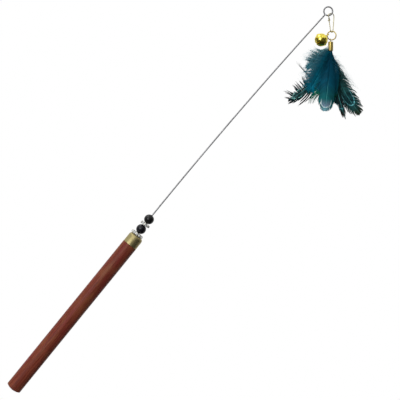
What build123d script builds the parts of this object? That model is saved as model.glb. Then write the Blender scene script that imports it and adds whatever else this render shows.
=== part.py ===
from build123d import *
import math
import os

# Cat teaser wand: a turned wooden handle with a brass ferrule, a bowed spring wire with
# two beads and two stone-set rondelles at its foot, and a lure of a snap, a ring, a
# jingle bell and a tuft of feathers that hangs from the eye at the wire's tip.
# Millimetres, +Z up. The origin is on the handle's axis, at the middle of its length,
# where a hand holds it. The wand leans in the XZ plane and the lure hangs straight down.

# Pose of the wand
WAND_LEAN = 50.9  # degrees from the horizontal up to the handle's axis

# Clearances
GLUE_GAP = 0.05  # film of glue between fixed pieces, on the radius
RUN_GAP = 0.08  # loose pieces on the wire, on the radius
STACK_GAP = 0.05  # end play between neighbours on the wire
LINK_GAP = 0.12  # between two linked wires where one hangs on the other
CUT_OVERRUN = 1.0  # how far a cutting tool runs past the piece

# Handle
HANDLE_D = 12.5
HANDLE_LENGTH = 150.0  # from the butt's crown to the ferrule's edge
BUTT_RISE = 1.8  # height of the domed butt
BUTT_ROUND = 0.6
WIRE_ANCHOR = 30.0  # depth of the wire below the ferrule's edge

# Ferrule
FERRULE_STEP = 0.2  # how much narrower the ferrule is than the handle
FERRULE_HEIGHT = 9.4
FERRULE_WALL = 0.6
FERRULE_ROUND = 2.4

# Beads and rondelles
BEAD_D = 8.0
RONDELLE_HEIGHT = 2.1
RONDELLE_HUB_D = 4.0
RONDELLE_WEB = 1.2
CUP_DEPTH = 1.2
LOWER_RONDELLE_D = 10.4
LOWER_CUPS = 12
UPPER_RONDELLE_D = 8.2
UPPER_CUPS = 9
STONE_D = 1.6
STONE_TABLE_D = 0.9
STONE_CULET_D = 0.2
STONE_CROWN = 0.35
STONE_PAVILION = 0.6
STONE_SINK = 0.15  # girdle below the cup's rim
STONE_SIDES = 8

# Spring wire
WIRE_D = 1.2
WIRE_ASIDE = 0.9  # how far the wire's bore lies to the upper left of the handle's axis
BOW_START = 1.0  # straight wire above the upper bead
BOW_LENGTH = 211.5
BOW_ANGLE = 3.25  # degrees that the wire turns over its bow
KINK_R = 1.3
EYE_OUTER_D = 8.2
EYE_END_GAP = 0.1  # between the eye's end and the kinked wire

# Snap
SNAP_WIRE_D = 0.7
SNAP_SEAT_ANGLE = 70.0  # degrees below the horizontal, round the eye
SNAP_TURN = 45.0  # degrees about the vertical, from the eye's plane
SNAP_LENGTH = 14.584
SNAP_TOP_WIDTH = 8.2
SNAP_TOP_RISE = 3.2  # the right corner above the left
SNAP_FOOT_WIDTH = 3.2
SNAP_TOP_LEFT_SHARE = 0.27
SNAP_FOOT_SHIFT = 2.5  # the foot's middle, across from the seat
SNAP_LEFT_R = 1.2
SNAP_RIGHT_R = 2.8
SNAP_FOOT_R = 1.5
GATE_STUB = 0.5  # straight wire between the foot's round and the gate
GATE_GAP = 0.25
GATE_KNEE_DROP = 7.2
GATE_KNEE_R = 6.0
GATE_TIP_DROP = 3.2
GATE_TIP_OUT = 1.02
LATCH_GAP = 0.28
HOOK_SHARE = 0.43  # place of the hook along the gate's upper run
HOOK_REACH = 1.05
HOOK_R = 0.4

# Jump ring
RING_WIRE_D = 0.9
RING_OUTER_D = 8.0
RING_TURN = -12.0  # degrees about the vertical, from the eye's plane
RING_SPLIT_ANGLE = 40.0
RING_SPLIT_TURN = 3.0

# Bell
BELL_D = 10.5
BELL_WALL = 0.4
BELL_RIM_D = 11.3
BELL_RIM = 0.35  # thickness of each half's rim
BELL_SEAT_ANGLE = 175.0  # degrees round the jump ring
BELL_HANG = 6.8  # from the ring's wire to the bell's centre
BELL_DROP = 36.0  # degrees below the horizontal
BELL_HEADING = 202.0  # degrees about the vertical
BELL_LOOP_D = 0.7
BELL_LOOP_R = 1.25
BELL_SLOT_WIDTH = 1.1
BELL_SLOT_REACH = 3.6
BELL_SLOT_END_D = 1.9
PELLET_D = 2.8

# Crimp cap
EYELET_SEAT_ANGLE = 257.0  # degrees round the jump ring
EYELET_WIRE_D = 0.6
EYELET_OUTER_D = 2.6
EYELET_SHANK = 3.0
CAP_D = 4.0
CAP_LENGTH = 7.2
CAP_WALL = 0.35
CAP_TOP = 0.5
CAP_ROUND = 0.5
PLUG_BULGE = 0.7
PLUG_ROUND = 0.4

# Feathers
QUILL_D = 0.5
QUILL_DEPTH = 3.0
QUILL_CIRCLE_R = 1.1
RACHIS_THICKNESS = 0.6
TIP_THICKNESS = 0.2
FEATHER_LENGTH = 56.0
VANE_HALF_WIDTH = 8.4

# Places along a feather, with the vane's half width there, as shares of length and width.
VANE_SHARES = (
    (0.06, 0.10),
    (0.16, 0.34),
    (0.34, 0.74),
    (0.54, 1.00),
    (0.74, 1.00),
    (0.86, 0.90),
    (0.93, 0.72),
    (0.97, 0.52),
    (1.00, 0.22),
)
# The downy plumes are wide close to the quill.
PLUME_SHARES = (
    (0.06, 0.16),
    (0.16, 0.62),
    (0.32, 1.00),
    (0.58, 1.00),
    (0.80, 0.74),
    (0.93, 0.46),
    (1.00, 0.20),
)
PLUMES = ("feather_left_plume", "feather_back_left")
# Each feather, in degrees: its quill's place round the plug and its heading about the
# vertical, its lean from straight down at root and tip, and the turn of its vane from
# facing the viewer. A quill with no place of its own stands in the plug's middle.
FEATHER_ANGLES = {
    "feather_front": (-104, -130, 5, 14, -5),
    "feather_front_under": (-48, -160, 5, 13, -5),
    "feather_right_outer": (10, 11, 7, 45, -4),
    "feather_right_inner": (None, 2, 6, 19, 4),
    "feather_left_long": (172, 168, 16, 66, 8),
    "feather_left_plume": (-150, 177, 20, 36, -2),
    "feather_back_left": (128, 160, 46, 70, 4),
    "feather_back_right": (52, 46, 6, 20, -3),
    "feather_back": (90, 92, 20, 46, 4),
}
# Each feather's shares of the length and of the half width.
FEATHER_SHARES = {
    "feather_front": (0.885, 0.76),
    "feather_front_under": (0.720, 1.06),
    "feather_right_outer": (1.010, 0.80),
    "feather_right_inner": (1.005, 0.58),
    "feather_left_long": (0.945, 0.62),
    "feather_left_plume": (0.680, 1.20),
    "feather_back_left": (0.420, 1.00),
    "feather_back_right": (0.770, 0.84),
    "feather_back": (0.700, 0.90),
}

# Radii that the sizes above give
HANDLE_R = HANDLE_D / 2
FERRULE_D = HANDLE_D - FERRULE_STEP
WIRE_R = WIRE_D / 2
BEAD_R = BEAD_D / 2
GLUED_BORE_R = WIRE_R + GLUE_GAP
RUN_BORE_R = WIRE_R + RUN_GAP
SPIGOT_R = FERRULE_D / 2 - FERRULE_WALL - GLUE_GAP
EYE_R = (EYE_OUTER_D - WIRE_D) / 2
SNAP_R = SNAP_WIRE_D / 2
RING_R = (RING_OUTER_D - RING_WIRE_D) / 2
BELL_R = BELL_D / 2
BELL_INNER_R = BELL_R - BELL_WALL
EYELET_R = (EYELET_OUTER_D - EYELET_WIRE_D) / 2

# Heights along the wand, from the middle of the handle
BUTT_Z = -HANDLE_LENGTH / 2
SHOULDER_Z = HANDLE_LENGTH / 2
WIRE_FOOT_Z = SHOULDER_Z - WIRE_ANCHOR
FERRULE_TOP_Z = SHOULDER_Z + FERRULE_HEIGHT
SPIGOT_TOP_Z = FERRULE_TOP_Z - FERRULE_WALL - GLUE_GAP
LOOSE_SEAT = math.sqrt(BEAD_R**2 - RUN_BORE_R**2)
GLUED_SEAT = math.sqrt(BEAD_R**2 - GLUED_BORE_R**2)
LOWER_RONDELLE_Z = FERRULE_TOP_Z + STACK_GAP
LOWER_BEAD_Z = LOWER_RONDELLE_Z + RONDELLE_HEIGHT + STACK_GAP + LOOSE_SEAT
UPPER_RONDELLE_Z = LOWER_BEAD_Z + LOOSE_SEAT + STACK_GAP
UPPER_BEAD_Z = UPPER_RONDELLE_Z + RONDELLE_HEIGHT + STACK_GAP + GLUED_SEAT
BOW_Z = UPPER_BEAD_Z + BEAD_R + BOW_START


def heading(degrees):
    """Level unit vector, turned about the vertical from +X."""
    angle = math.radians(degrees)
    return Vector(math.cos(angle), math.sin(angle), 0)


UP = Vector(0, 0, 1)
WAND_AXIS = Vector(math.cos(math.radians(WAND_LEAN)), 0, math.sin(math.radians(WAND_LEAN)))
WAND_SIDE = Vector(WAND_AXIS.Z, 0, -WAND_AXIS.X)

# The eye: the wire ends its bow, kinks to one side and turns back round the eye.
BOW_R = BOW_LENGTH / math.radians(BOW_ANGLE)
EYE_REACH = math.sqrt((EYE_R + KINK_R) ** 2 - KINK_R**2)


def eye_end_turn():
    """Angle from the back of the eye to its end, which stops at a gap before the kinked wire."""
    rim = EYE_R + WIRE_R
    kink = EYE_R + KINK_R
    apart = KINK_R + WIRE_R + EYE_END_GAP
    share = (rim**2 + kink**2 - apart**2) / (2 * rim * kink)
    return math.acos(share) - math.atan2(KINK_R, EYE_REACH)


def along_bow(angle):
    """A point of the bowed wire, as (sideways, up) beside the upright wand."""
    return (BOW_R * (1 - math.cos(angle)) - WIRE_ASIDE, BOW_Z + BOW_R * math.sin(angle))


def wand_point(side, height):
    """A point beside the upright wand, placed on the leaning one."""
    return WAND_SIDE * side + WAND_AXIS * height


BOW_TURN = math.radians(BOW_ANGLE)
BOW_END = wand_point(*along_bow(BOW_TURN))
TIP_FORWARD = WAND_SIDE * math.sin(BOW_TURN) + WAND_AXIS * math.cos(BOW_TURN)
TIP_LEFT = WAND_SIDE * -math.cos(BOW_TURN) + WAND_AXIS * math.sin(BOW_TURN)
EYE_CENTRE = BOW_END + TIP_FORWARD * EYE_REACH

# The snap hangs on the eye's wire at its seat.
SNAP_ACROSS = heading(SNAP_TURN)
SNAP_BEHIND = heading(SNAP_TURN + 90)
SNAP_SEAT = EYE_CENTRE + Vector(
    EYE_R * math.cos(math.radians(SNAP_SEAT_ANGLE)),
    0,
    -EYE_R * math.sin(math.radians(SNAP_SEAT_ANGLE)),
)
SNAP_TOP_SLOPE = SNAP_TOP_RISE / SNAP_TOP_WIDTH


def snap_rise():
    """Least height of the snap's sloping top over its seat that clears the eye's round wire."""
    spacing = WIRE_R + SNAP_R + LINK_GAP
    seat = math.radians(SNAP_SEAT_ANGLE)
    turn = math.radians(SNAP_TURN)
    heights = []
    for step in range(-60, 61):
        angle = seat + math.radians(step)
        along = EYE_R * (math.cos(angle) - math.cos(seat))
        behind = along * math.sin(turn)
        up = EYE_R * (math.sin(seat) - math.sin(angle)) - along * math.cos(turn) * SNAP_TOP_SLOPE
        if abs(behind) < spacing:
            heights.append(up + math.sqrt((spacing**2 - behind**2) * (1 + SNAP_TOP_SLOPE**2)))
    return max(heights)


SNAP_RISE = snap_rise()
SNAP_FOOT_UP = SNAP_RISE - SNAP_LENGTH
GATE_ACROSS = SNAP_FOOT_SHIFT - SNAP_FOOT_WIDTH / 2


def snap_point(across, up, behind=0):
    return SNAP_SEAT + SNAP_ACROSS * across + UP * up + SNAP_BEHIND * behind


# The jump ring hangs in the snap's foot.
RING_ACROSS = heading(RING_TURN)
RING_TOP_UP = SNAP_FOOT_UP + SNAP_R + RING_WIRE_D / 2 + LINK_GAP
RING_TOP = snap_point(SNAP_FOOT_SHIFT, RING_TOP_UP)
RING_CENTRE = RING_TOP - UP * RING_R
SNAP_FOOT = snap_point(SNAP_FOOT_SHIFT, SNAP_FOOT_UP)
GATE_ROOT = snap_point(GATE_ACROSS, SNAP_FOOT_UP + SNAP_FOOT_R + GATE_STUB)


def on_ring(degrees):
    """A point of the jump ring's centre line, from its right side round over its top."""
    angle = math.radians(degrees)
    return RING_CENTRE + (RING_ACROSS * math.cos(angle) + UP * math.sin(angle)) * RING_R


# The bell hangs on the ring's left side.
BELL_SEAT = on_ring(BELL_SEAT_ANGLE)
BELL_SEAT_TURN = math.radians(BELL_SEAT_ANGLE)
RING_TANGENT = RING_ACROSS * -math.sin(BELL_SEAT_TURN) + UP * math.cos(BELL_SEAT_TURN)
BELL_AXIS = heading(BELL_HEADING) * math.cos(math.radians(BELL_DROP)) - UP * math.sin(math.radians(BELL_DROP))
BELL_CENTRE = BELL_SEAT + BELL_AXIS * BELL_HANG
BELL_PLANE = Plane(origin=BELL_CENTRE, x_dir=heading(BELL_HEADING + 90), z_dir=BELL_AXIS * -1)

# The crimp cap hangs under the ring, a little left of its lowest point.
EYELET_SEAT = on_ring(EYELET_SEAT_ANGLE)
EYELET_DROP = EYELET_R - EYELET_WIRE_D / 2 - RING_WIRE_D / 2 - LINK_GAP
EYELET_CENTRE = EYELET_SEAT - UP * EYELET_DROP
CAP_TOP_POINT = EYELET_CENTRE - UP * (EYELET_OUTER_D / 2 + GLUE_GAP)
CAP_INNER_R = CAP_D / 2 - CAP_WALL
MOUTH = CAP_TOP_POINT - UP * CAP_LENGTH
PLUG_FACE = MOUTH - UP * PLUG_BULGE


def lean(shape):
    """Tip an upright piece of the wand over to the wand's lean."""
    return Rot(0, 90 - WAND_LEAN, 0) * shape


def on_wire(shape):
    """Move an upright piece from the handle's axis to the wire's."""
    return Pos(-WIRE_ASIDE, 0, 0) * shape


def rod(radius, bottom, top):
    """Upright cylinder on the Z axis."""
    centred_on_foot = (Align.CENTER, Align.CENTER, Align.MIN)
    return Pos(0, 0, bottom) * Cylinder(radius, top - bottom, align=centred_on_foot)


def rim_edges(shape, height):
    """The round edges at one height of an upright turned piece."""
    return shape.edges().filter_by(GeomType.CIRCLE).filter_by_position(Axis.Z, height, height)


def tube(path, diameter):
    """Round wire along a path."""
    return sweep(Plane(origin=path @ 0, z_dir=path % 0) * Circle(diameter / 2), path=path)


def rounded_path(points, radii):
    """Straight runs from point to point, with a tangent arc at each inner corner."""
    edges = []
    last = points[0]
    for before, corner, after, radius in zip(points, points[1:], points[2:], radii):
        into = (corner - before).normalized()
        out = (after - corner).normalized()
        half_turn = math.radians(into.get_angle(out)) / 2
        reach = radius * math.tan(half_turn)
        middle = corner + (out - into).normalized() * (radius / math.cos(half_turn) - radius)
        edges.append(Line(last, corner - into * reach))
        edges.append(ThreePointArc(corner - into * reach, middle, corner + out * reach))
        last = corner + out * reach
    edges.append(Line(last, points[-1]))
    return Wire(edges)


def handle():
    """Turned handle with a domed butt, a spigot for the ferrule and a bore for the wire."""
    dome_r = (HANDLE_R**2 + BUTT_RISE**2) / (2 * BUTT_RISE)
    half_dome = math.asin(HANDLE_R / dome_r) / 2
    dome_middle = (dome_r * math.sin(half_dome), 0, BUTT_Z + dome_r * (1 - math.cos(half_dome)))
    rim_z = BUTT_Z + BUTT_RISE
    ease = FERRULE_ROUND - FERRULE_WALL
    dome = ThreePointArc((0, 0, BUTT_Z), dome_middle, (HANDLE_R, 0, rim_z))
    side = Polyline(
        (HANDLE_R, 0, rim_z),
        (HANDLE_R, 0, SHOULDER_Z),
        (SPIGOT_R, 0, SHOULDER_Z),
        (SPIGOT_R, 0, SPIGOT_TOP_Z - ease),
        (SPIGOT_R - ease, 0, SPIGOT_TOP_Z),
        (0, 0, SPIGOT_TOP_Z),
        (0, 0, BUTT_Z),
    )
    body = revolve(make_face(dome.edges() + side.edges()), Axis.Z)
    body = fillet(rim_edges(body, rim_z), BUTT_ROUND)
    return lean(body - on_wire(rod(GLUED_BORE_R, WIRE_FOOT_Z - GLUE_GAP, SPIGOT_TOP_Z + CUT_OVERRUN)))


def ferrule():
    """Drawn cap with a rounded top edge and a hole for the wire."""
    shell = rod(FERRULE_D / 2, SHOULDER_Z, FERRULE_TOP_Z)
    shell = fillet(rim_edges(shell, FERRULE_TOP_Z), FERRULE_ROUND)
    ceiling_z = FERRULE_TOP_Z - FERRULE_WALL
    hollow = rod(SPIGOT_R + GLUE_GAP, SHOULDER_Z - CUT_OVERRUN, ceiling_z)
    hollow = fillet(rim_edges(hollow, ceiling_z), FERRULE_ROUND - FERRULE_WALL)
    hole = on_wire(rod(GLUED_BORE_R, SHOULDER_Z, FERRULE_TOP_Z + CUT_OVERRUN))
    return lean(shell - hollow - hole)


def spring_wire():
    """One wire: set in the handle, bowed, and bent to an eye at the tip."""
    bow_start = wand_point(*along_bow(0))
    kink_centre = BOW_END + TIP_LEFT * KINK_R
    kink_turn = math.atan2(EYE_REACH, KINK_R)

    def on_kink(angle):
        return kink_centre + (TIP_FORWARD * math.sin(angle) - TIP_LEFT * math.cos(angle)) * KINK_R

    def on_eye(angle):
        return EYE_CENTRE + (TIP_FORWARD * math.cos(angle) + TIP_LEFT * math.sin(angle)) * EYE_R

    eye_start = math.atan2(KINK_R, -EYE_REACH)
    eye_end = eye_end_turn() - math.pi
    path = Wire(
        [
            Line(wand_point(-WIRE_ASIDE, WIRE_FOOT_Z), bow_start),
            ThreePointArc(bow_start, wand_point(*along_bow(BOW_TURN / 2)), BOW_END),
            ThreePointArc(BOW_END, on_kink(kink_turn / 2), on_kink(kink_turn)),
            ThreePointArc(on_kink(kink_turn), on_eye((eye_start + eye_end) / 2), on_eye(eye_end)),
        ]
    )
    return tube(path, WIRE_D)


def bead(height, bore_r):
    ball = Pos(0, 0, height) * Sphere(BEAD_R)
    return lean(on_wire(ball - rod(bore_r, height - BEAD_D, height + BEAD_D)))


def around(count, shape):
    """Copies of a shape, evenly spaced about the Z axis."""
    return [Rot(0, 0, 360 * step / count) * shape for step in range(count)]


def outward(radius, start, end):
    """Cylinder that points along +X."""
    return Rot(0, 90, 0) * rod(radius, start, end)


def rondelle(foot, diameter, cups):
    """Spacer with a hub, a web and a ring of round cups that face outward."""
    top = foot + RONDELLE_HEIGHT
    middle = (foot + top) / 2
    rim_r = diameter / 2
    pocket_r = STONE_D / 2 + GLUE_GAP
    pocket_floor = rim_r - STONE_SINK - STONE_PAVILION - GLUE_GAP
    cup = Pos(0, 0, middle) * outward(RONDELLE_HEIGHT / 2, rim_r - CUP_DEPTH, rim_r)
    pocket = Pos(0, 0, middle) * outward(pocket_r, pocket_floor, rim_r + CUT_OVERRUN)
    body = rod(RONDELLE_HUB_D / 2, foot, top)
    body += rod(rim_r - CUP_DEPTH / 2, middle - RONDELLE_WEB / 2, middle + RONDELLE_WEB / 2)
    body += around(cups, cup)
    body -= around(cups, pocket)
    return lean(on_wire(body - rod(RUN_BORE_R, foot - CUT_OVERRUN, top + CUT_OVERRUN)))


def rondelle_stones(foot, diameter, cups):
    """The cut stones in a rondelle's cups."""
    middle = foot + RONDELLE_HEIGHT / 2
    girdle = RegularPolygon(STONE_D / 2, STONE_SIDES)
    table = Pos(0, 0, STONE_CROWN) * RegularPolygon(STONE_TABLE_D / 2, STONE_SIDES)
    culet = Pos(0, 0, -STONE_PAVILION) * RegularPolygon(STONE_CULET_D / 2, STONE_SIDES)
    stone = loft([culet, girdle, table], ruled=True)
    placed = Pos(diameter / 2 - STONE_SINK, 0, middle) * Rot(0, 90, 0) * stone
    return Compound([lean(on_wire(copy)).solid() for copy in around(cups, placed)])


def snap_hook():
    """The fixed part of the snap: latch hook, top through the eye, right arm and foot."""
    knee = snap_point(GATE_ACROSS, SNAP_RISE - GATE_KNEE_DROP)
    tip = snap_point(GATE_ACROSS - GATE_TIP_OUT, SNAP_RISE - GATE_TIP_DROP)
    hook = knee + (tip - knee) * HOOK_SHARE
    hook_side = hook - SNAP_ACROSS * HOOK_REACH
    hook_end = hook_side + SNAP_BEHIND * (SNAP_WIRE_D + LATCH_GAP + SNAP_R)
    left = -SNAP_TOP_WIDTH * SNAP_TOP_LEFT_SHARE
    right = left + SNAP_TOP_WIDTH
    points = [
        hook_end,
        hook_side,
        hook,
        snap_point(left, SNAP_RISE + left * SNAP_TOP_SLOPE),
        snap_point(right, SNAP_RISE + right * SNAP_TOP_SLOPE),
        snap_point(GATE_ACROSS + SNAP_FOOT_WIDTH, SNAP_FOOT_UP),
        snap_point(GATE_ACROSS, SNAP_FOOT_UP),
        GATE_ROOT,
    ]
    path = rounded_path(points, [HOOK_R, HOOK_R, SNAP_LEFT_R, SNAP_RIGHT_R, SNAP_FOOT_R, SNAP_FOOT_R])
    return tube(path, SNAP_WIRE_D)


def snap_gate():
    """The springy arm, which passes behind the hook."""
    behind = SNAP_WIRE_D + LATCH_GAP
    points = [
        GATE_ROOT + UP * GATE_GAP,
        snap_point(GATE_ACROSS, SNAP_RISE - GATE_KNEE_DROP, behind),
        snap_point(GATE_ACROSS - GATE_TIP_OUT, SNAP_RISE - GATE_TIP_DROP, behind),
    ]
    return tube(rounded_path(points, [GATE_KNEE_R]), SNAP_WIRE_D)


def jump_ring():
    """Split ring, its cut on the upper right."""
    ring = Torus(RING_R, RING_WIRE_D / 2, major_angle=360 - RING_SPLIT_TURN)
    return Pos(RING_CENTRE) * Rot(0, 0, RING_TURN) * Rot(90, 0, 0) * Rot(0, 0, RING_SPLIT_ANGLE) * ring


def bell_shell(top_half):
    """Half of the bell's shell with its rim, its seam in the XY plane."""
    sign = 1 if top_half else -1
    shell = Sphere(BELL_R) + Cylinder(BELL_RIM_D / 2, 2 * BELL_RIM)
    keep = Pos(0, 0, sign * BELL_D / 2) * Box(2 * BELL_RIM_D, 2 * BELL_RIM_D, BELL_D)
    return (shell - Sphere(BELL_INNER_R)) & keep


def loop_crown():
    """Height of the loop's round above the bell's centre, so that the ring's wire passes under it."""
    slant = math.sqrt(1 - RING_TANGENT.dot(BELL_AXIS) ** 2)
    spacing = (RING_WIRE_D + BELL_LOOP_D) / 2 + 2 * LINK_GAP
    return BELL_HANG + spacing / slant - BELL_LOOP_R


def bell_upper_half():
    shell = bell_shell(True)
    leg_hole = rod(BELL_LOOP_D / 2 + GLUE_GAP, 0, BELL_R + CUT_OVERRUN)
    shell -= [Pos(side * BELL_LOOP_R, 0, 0) * leg_hole for side in (-1, 1)]
    return BELL_PLANE * shell


def bell_lower_half():
    """Lower half with two crossed slots that end in round holes."""
    shell = bell_shell(False)
    end_tilt = math.degrees(math.asin(BELL_SLOT_REACH / BELL_R))
    end_hole = Rot(0, end_tilt, 0) * rod(BELL_SLOT_END_D / 2, -BELL_R - CUT_OVERRUN, -BELL_R / 2)
    slot = Pos(0, 0, -BELL_R) * Box(2 * BELL_SLOT_REACH, BELL_SLOT_WIDTH, BELL_D)
    shell -= [slot, Rot(0, 0, 90) * slot] + around(4, end_hole)
    return BELL_PLANE * shell


def bell_loop():
    """Wire staple, its legs through the top of the shell and flush inside."""
    crown = loop_crown()
    foot = math.sqrt(BELL_INNER_R**2 - (BELL_LOOP_R + BELL_LOOP_D / 2) ** 2)
    path = Wire(
        [
            Line((-BELL_LOOP_R, 0, foot), (-BELL_LOOP_R, 0, crown)),
            ThreePointArc((-BELL_LOOP_R, 0, crown), (0, 0, crown + BELL_LOOP_R), (BELL_LOOP_R, 0, crown)),
            Line((BELL_LOOP_R, 0, crown), (BELL_LOOP_R, 0, foot)),
        ]
    )
    staple = tube(path, BELL_LOOP_D)
    return BELL_PLANE * (staple - Sphere(BELL_INNER_R))


def bell_pellet():
    return Pos(BELL_CENTRE - UP * (BELL_INNER_R - PELLET_D / 2 - LINK_GAP)) * Sphere(PELLET_D / 2)


def crimp_eyelet():
    """Eye pin: an eye round the jump ring and a shank down into the cap."""
    eye = Rot(0, 0, RING_TURN) * Rot(0, 90, 0) * Torus(EYELET_R, EYELET_WIRE_D / 2)
    shank = rod(EYELET_WIRE_D / 2, -EYELET_OUTER_D / 2 - EYELET_SHANK, -EYELET_R)
    return Pos(EYELET_CENTRE) * (eye + shank)


def crimp_cap():
    """Tube closed at the top, with a hole for the eye pin."""
    cap = rod(CAP_D / 2, -CAP_LENGTH, 0)
    cap = fillet(rim_edges(cap, 0), CAP_ROUND)
    hollow = rod(CAP_INNER_R, -CAP_LENGTH - CUT_OVERRUN, -CAP_TOP)
    hole = rod(EYELET_WIRE_D / 2 + GLUE_GAP, -CAP_LENGTH, CUT_OVERRUN)
    return Pos(CAP_TOP_POINT) * (cap - hollow - hole)


def quill_places():
    """Each feather's place on the plug's face."""
    places = {}
    for name, angles in FEATHER_ANGLES.items():
        ring_r = 0 if angles[0] is None else QUILL_CIRCLE_R
        places[name] = heading(angles[0] or 0) * ring_r
    return places


def quill_plug():
    """Glue that fills the cap round the quills and bulges out of its mouth."""
    bottom = -CAP_LENGTH - PLUG_BULGE
    plug = rod(CAP_INNER_R - GLUE_GAP, bottom, -CAP_TOP - GLUE_GAP)
    plug = fillet(rim_edges(plug, bottom), PLUG_ROUND)
    quill_top = -CAP_LENGTH + QUILL_DEPTH + GLUE_GAP
    quill_hole = rod(QUILL_D / 2 + GLUE_GAP, bottom - CUT_OVERRUN, quill_top)
    shank_foot = -EYELET_SHANK - 2 * GLUE_GAP
    shank_hole = rod(EYELET_WIRE_D / 2 + GLUE_GAP, shank_foot, 0)
    holes = [Pos(place) * quill_hole for place in quill_places().values()]
    return Pos(CAP_TOP_POINT) * (plug - holes - shank_hole)


def diamond(centre, wide, deep):
    """Four-cornered section of a vane, thickest at its rachis."""
    return Face(Wire.make_polygon([centre + wide, centre + deep, centre - wide, centre - deep], close=True))


def feather(name):
    """One feather: a straight quill in the plug, then a vane along an arc that leans outward."""
    azimuth, root_lean, tip_lean, vane_turn = FEATHER_ANGLES[name][1:]
    length_share, width_share = FEATHER_SHARES[name]
    length = FEATHER_LENGTH * length_share
    half_width = VANE_HALF_WIDTH * width_share
    profile = PLUME_SHARES if name in PLUMES else VANE_SHARES
    outward_way = heading(azimuth)
    level_way = heading(azimuth + 90)
    root = PLUG_FACE + quill_places()[name]
    face_angle = math.radians(azimuth + 90 - vane_turn)
    quill_wide = level_way * math.cos(face_angle) + outward_way * math.sin(face_angle)
    quill_deep = outward_way * math.cos(face_angle) - level_way * math.sin(face_angle)
    quill_r = QUILL_D / 2
    quill_top = root + UP * (PLUG_BULGE + QUILL_DEPTH)
    sections = [
        diamond(quill_top, quill_wide * quill_r, quill_deep * quill_r),
        diamond(root, quill_wide * quill_r, quill_deep * quill_r),
    ]
    for along, width in profile:
        turn = math.radians(tip_lean - root_lean) * along
        chord = length * along * math.sin(turn / 2) / (turn / 2)
        chord_lean = math.radians(root_lean) + turn / 2
        centre = root + (outward_way * math.sin(chord_lean) - UP * math.cos(chord_lean)) * chord
        here = math.radians(root_lean) + turn
        inward = outward_way * math.cos(here) + UP * math.sin(here)
        wide = level_way * math.cos(face_angle) + inward * math.sin(face_angle)
        deep = inward * math.cos(face_angle) - level_way * math.sin(face_angle)
        thickness = RACHIS_THICKNESS + (TIP_THICKNESS - RACHIS_THICKNESS) * along
        sections.append(diamond(centre, wide * (half_width * width), deep * (thickness / 2)))
    return loft(sections, ruled=True)


def build():
    nodes = {
        "handle": handle(),
        "ferrule": ferrule(),
        "spring_wire": spring_wire(),
        "lower_rondelle": rondelle(LOWER_RONDELLE_Z, LOWER_RONDELLE_D, LOWER_CUPS),
        "lower_rondelle_stones": rondelle_stones(LOWER_RONDELLE_Z, LOWER_RONDELLE_D, LOWER_CUPS),
        "lower_bead": bead(LOWER_BEAD_Z, RUN_BORE_R),
        "upper_rondelle": rondelle(UPPER_RONDELLE_Z, UPPER_RONDELLE_D, UPPER_CUPS),
        "upper_rondelle_stones": rondelle_stones(UPPER_RONDELLE_Z, UPPER_RONDELLE_D, UPPER_CUPS),
        "upper_bead": bead(UPPER_BEAD_Z, GLUED_BORE_R),
        "snap_hook": snap_hook(),
        "snap_gate": snap_gate(),
        "jump_ring": jump_ring(),
        "bell_upper_half": bell_upper_half(),
        "bell_lower_half": bell_lower_half(),
        "bell_loop": bell_loop(),
        "bell_pellet": bell_pellet(),
        "crimp_eyelet": crimp_eyelet(),
        "crimp_cap": crimp_cap(),
        "quill_plug": quill_plug(),
    }
    for name in FEATHER_SHARES:
        nodes[name] = feather(name)
    return nodes


def main():
    os.makedirs("parts", exist_ok=True)
    for name, shape in build().items():
        export_step(shape, f"parts/{name}.step")


if __name__ == "__main__":
    main()
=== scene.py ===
import math
from collections import namedtuple
import bmesh
import bpy
import numpy as np
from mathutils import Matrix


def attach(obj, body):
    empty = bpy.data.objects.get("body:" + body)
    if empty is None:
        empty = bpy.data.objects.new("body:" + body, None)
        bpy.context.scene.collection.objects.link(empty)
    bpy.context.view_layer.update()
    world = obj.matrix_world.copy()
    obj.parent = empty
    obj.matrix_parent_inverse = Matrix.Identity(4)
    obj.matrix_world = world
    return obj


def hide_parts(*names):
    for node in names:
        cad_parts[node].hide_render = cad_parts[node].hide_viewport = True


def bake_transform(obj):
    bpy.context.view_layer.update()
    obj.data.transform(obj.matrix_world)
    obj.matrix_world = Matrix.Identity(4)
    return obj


# Looks of a cat teaser wand: a turned wood handle, a brass ferrule, beads on a bowed spring wire,
# and a lure of dyed feathers and a bell. Lengths are millimetres until a mesh is laid.

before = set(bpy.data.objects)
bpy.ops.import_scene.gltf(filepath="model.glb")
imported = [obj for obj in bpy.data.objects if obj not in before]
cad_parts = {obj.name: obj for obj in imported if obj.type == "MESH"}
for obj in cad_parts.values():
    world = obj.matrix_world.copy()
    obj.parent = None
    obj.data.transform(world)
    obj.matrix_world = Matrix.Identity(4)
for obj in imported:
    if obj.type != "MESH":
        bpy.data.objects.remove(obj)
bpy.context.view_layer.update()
MM = 0.001

# Handle, ferrule and bead stack, the same sizes as the part's
WAND_LEAN = math.radians(50.9)
HANDLE_R = 6.25
HANDLE_LENGTH = 150.0
SHOULDER_EASE = 0.12
BUTT_RISE = 1.8
BUTT_ROUND = 0.6
FERRULE_R = 6.15
FERRULE_WALL = 0.6
FERRULE_HEIGHT = 9.4
FERRULE_ROUND = 2.4
FERRULE_LIP = 0.15
GLUE_GAP = 0.05
STACK_GAP = 0.05
BEAD_R = 4.0
RUN_BORE_R = 0.68
GLUED_BORE_R = 0.65
RONDELLE_HEIGHT = 2.1
RONDELLE_HUB_R = 2.0
RONDELLE_WEB = 1.2
LOWER_RIM_R = 5.2
LOWER_CUPS = 12
UPPER_RIM_R = 4.1
UPPER_CUPS = 9
CUP_DEPTH = 1.2
CUP_LIP = 0.06
STONE_SINK = 0.15
STONE_R = 0.8
STONE_TABLE_R = 0.45
STONE_CULET_R = 0.1
STONE_CROWN = 0.35
STONE_PAVILION = 0.6
STONE_SIDES = 8

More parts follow.
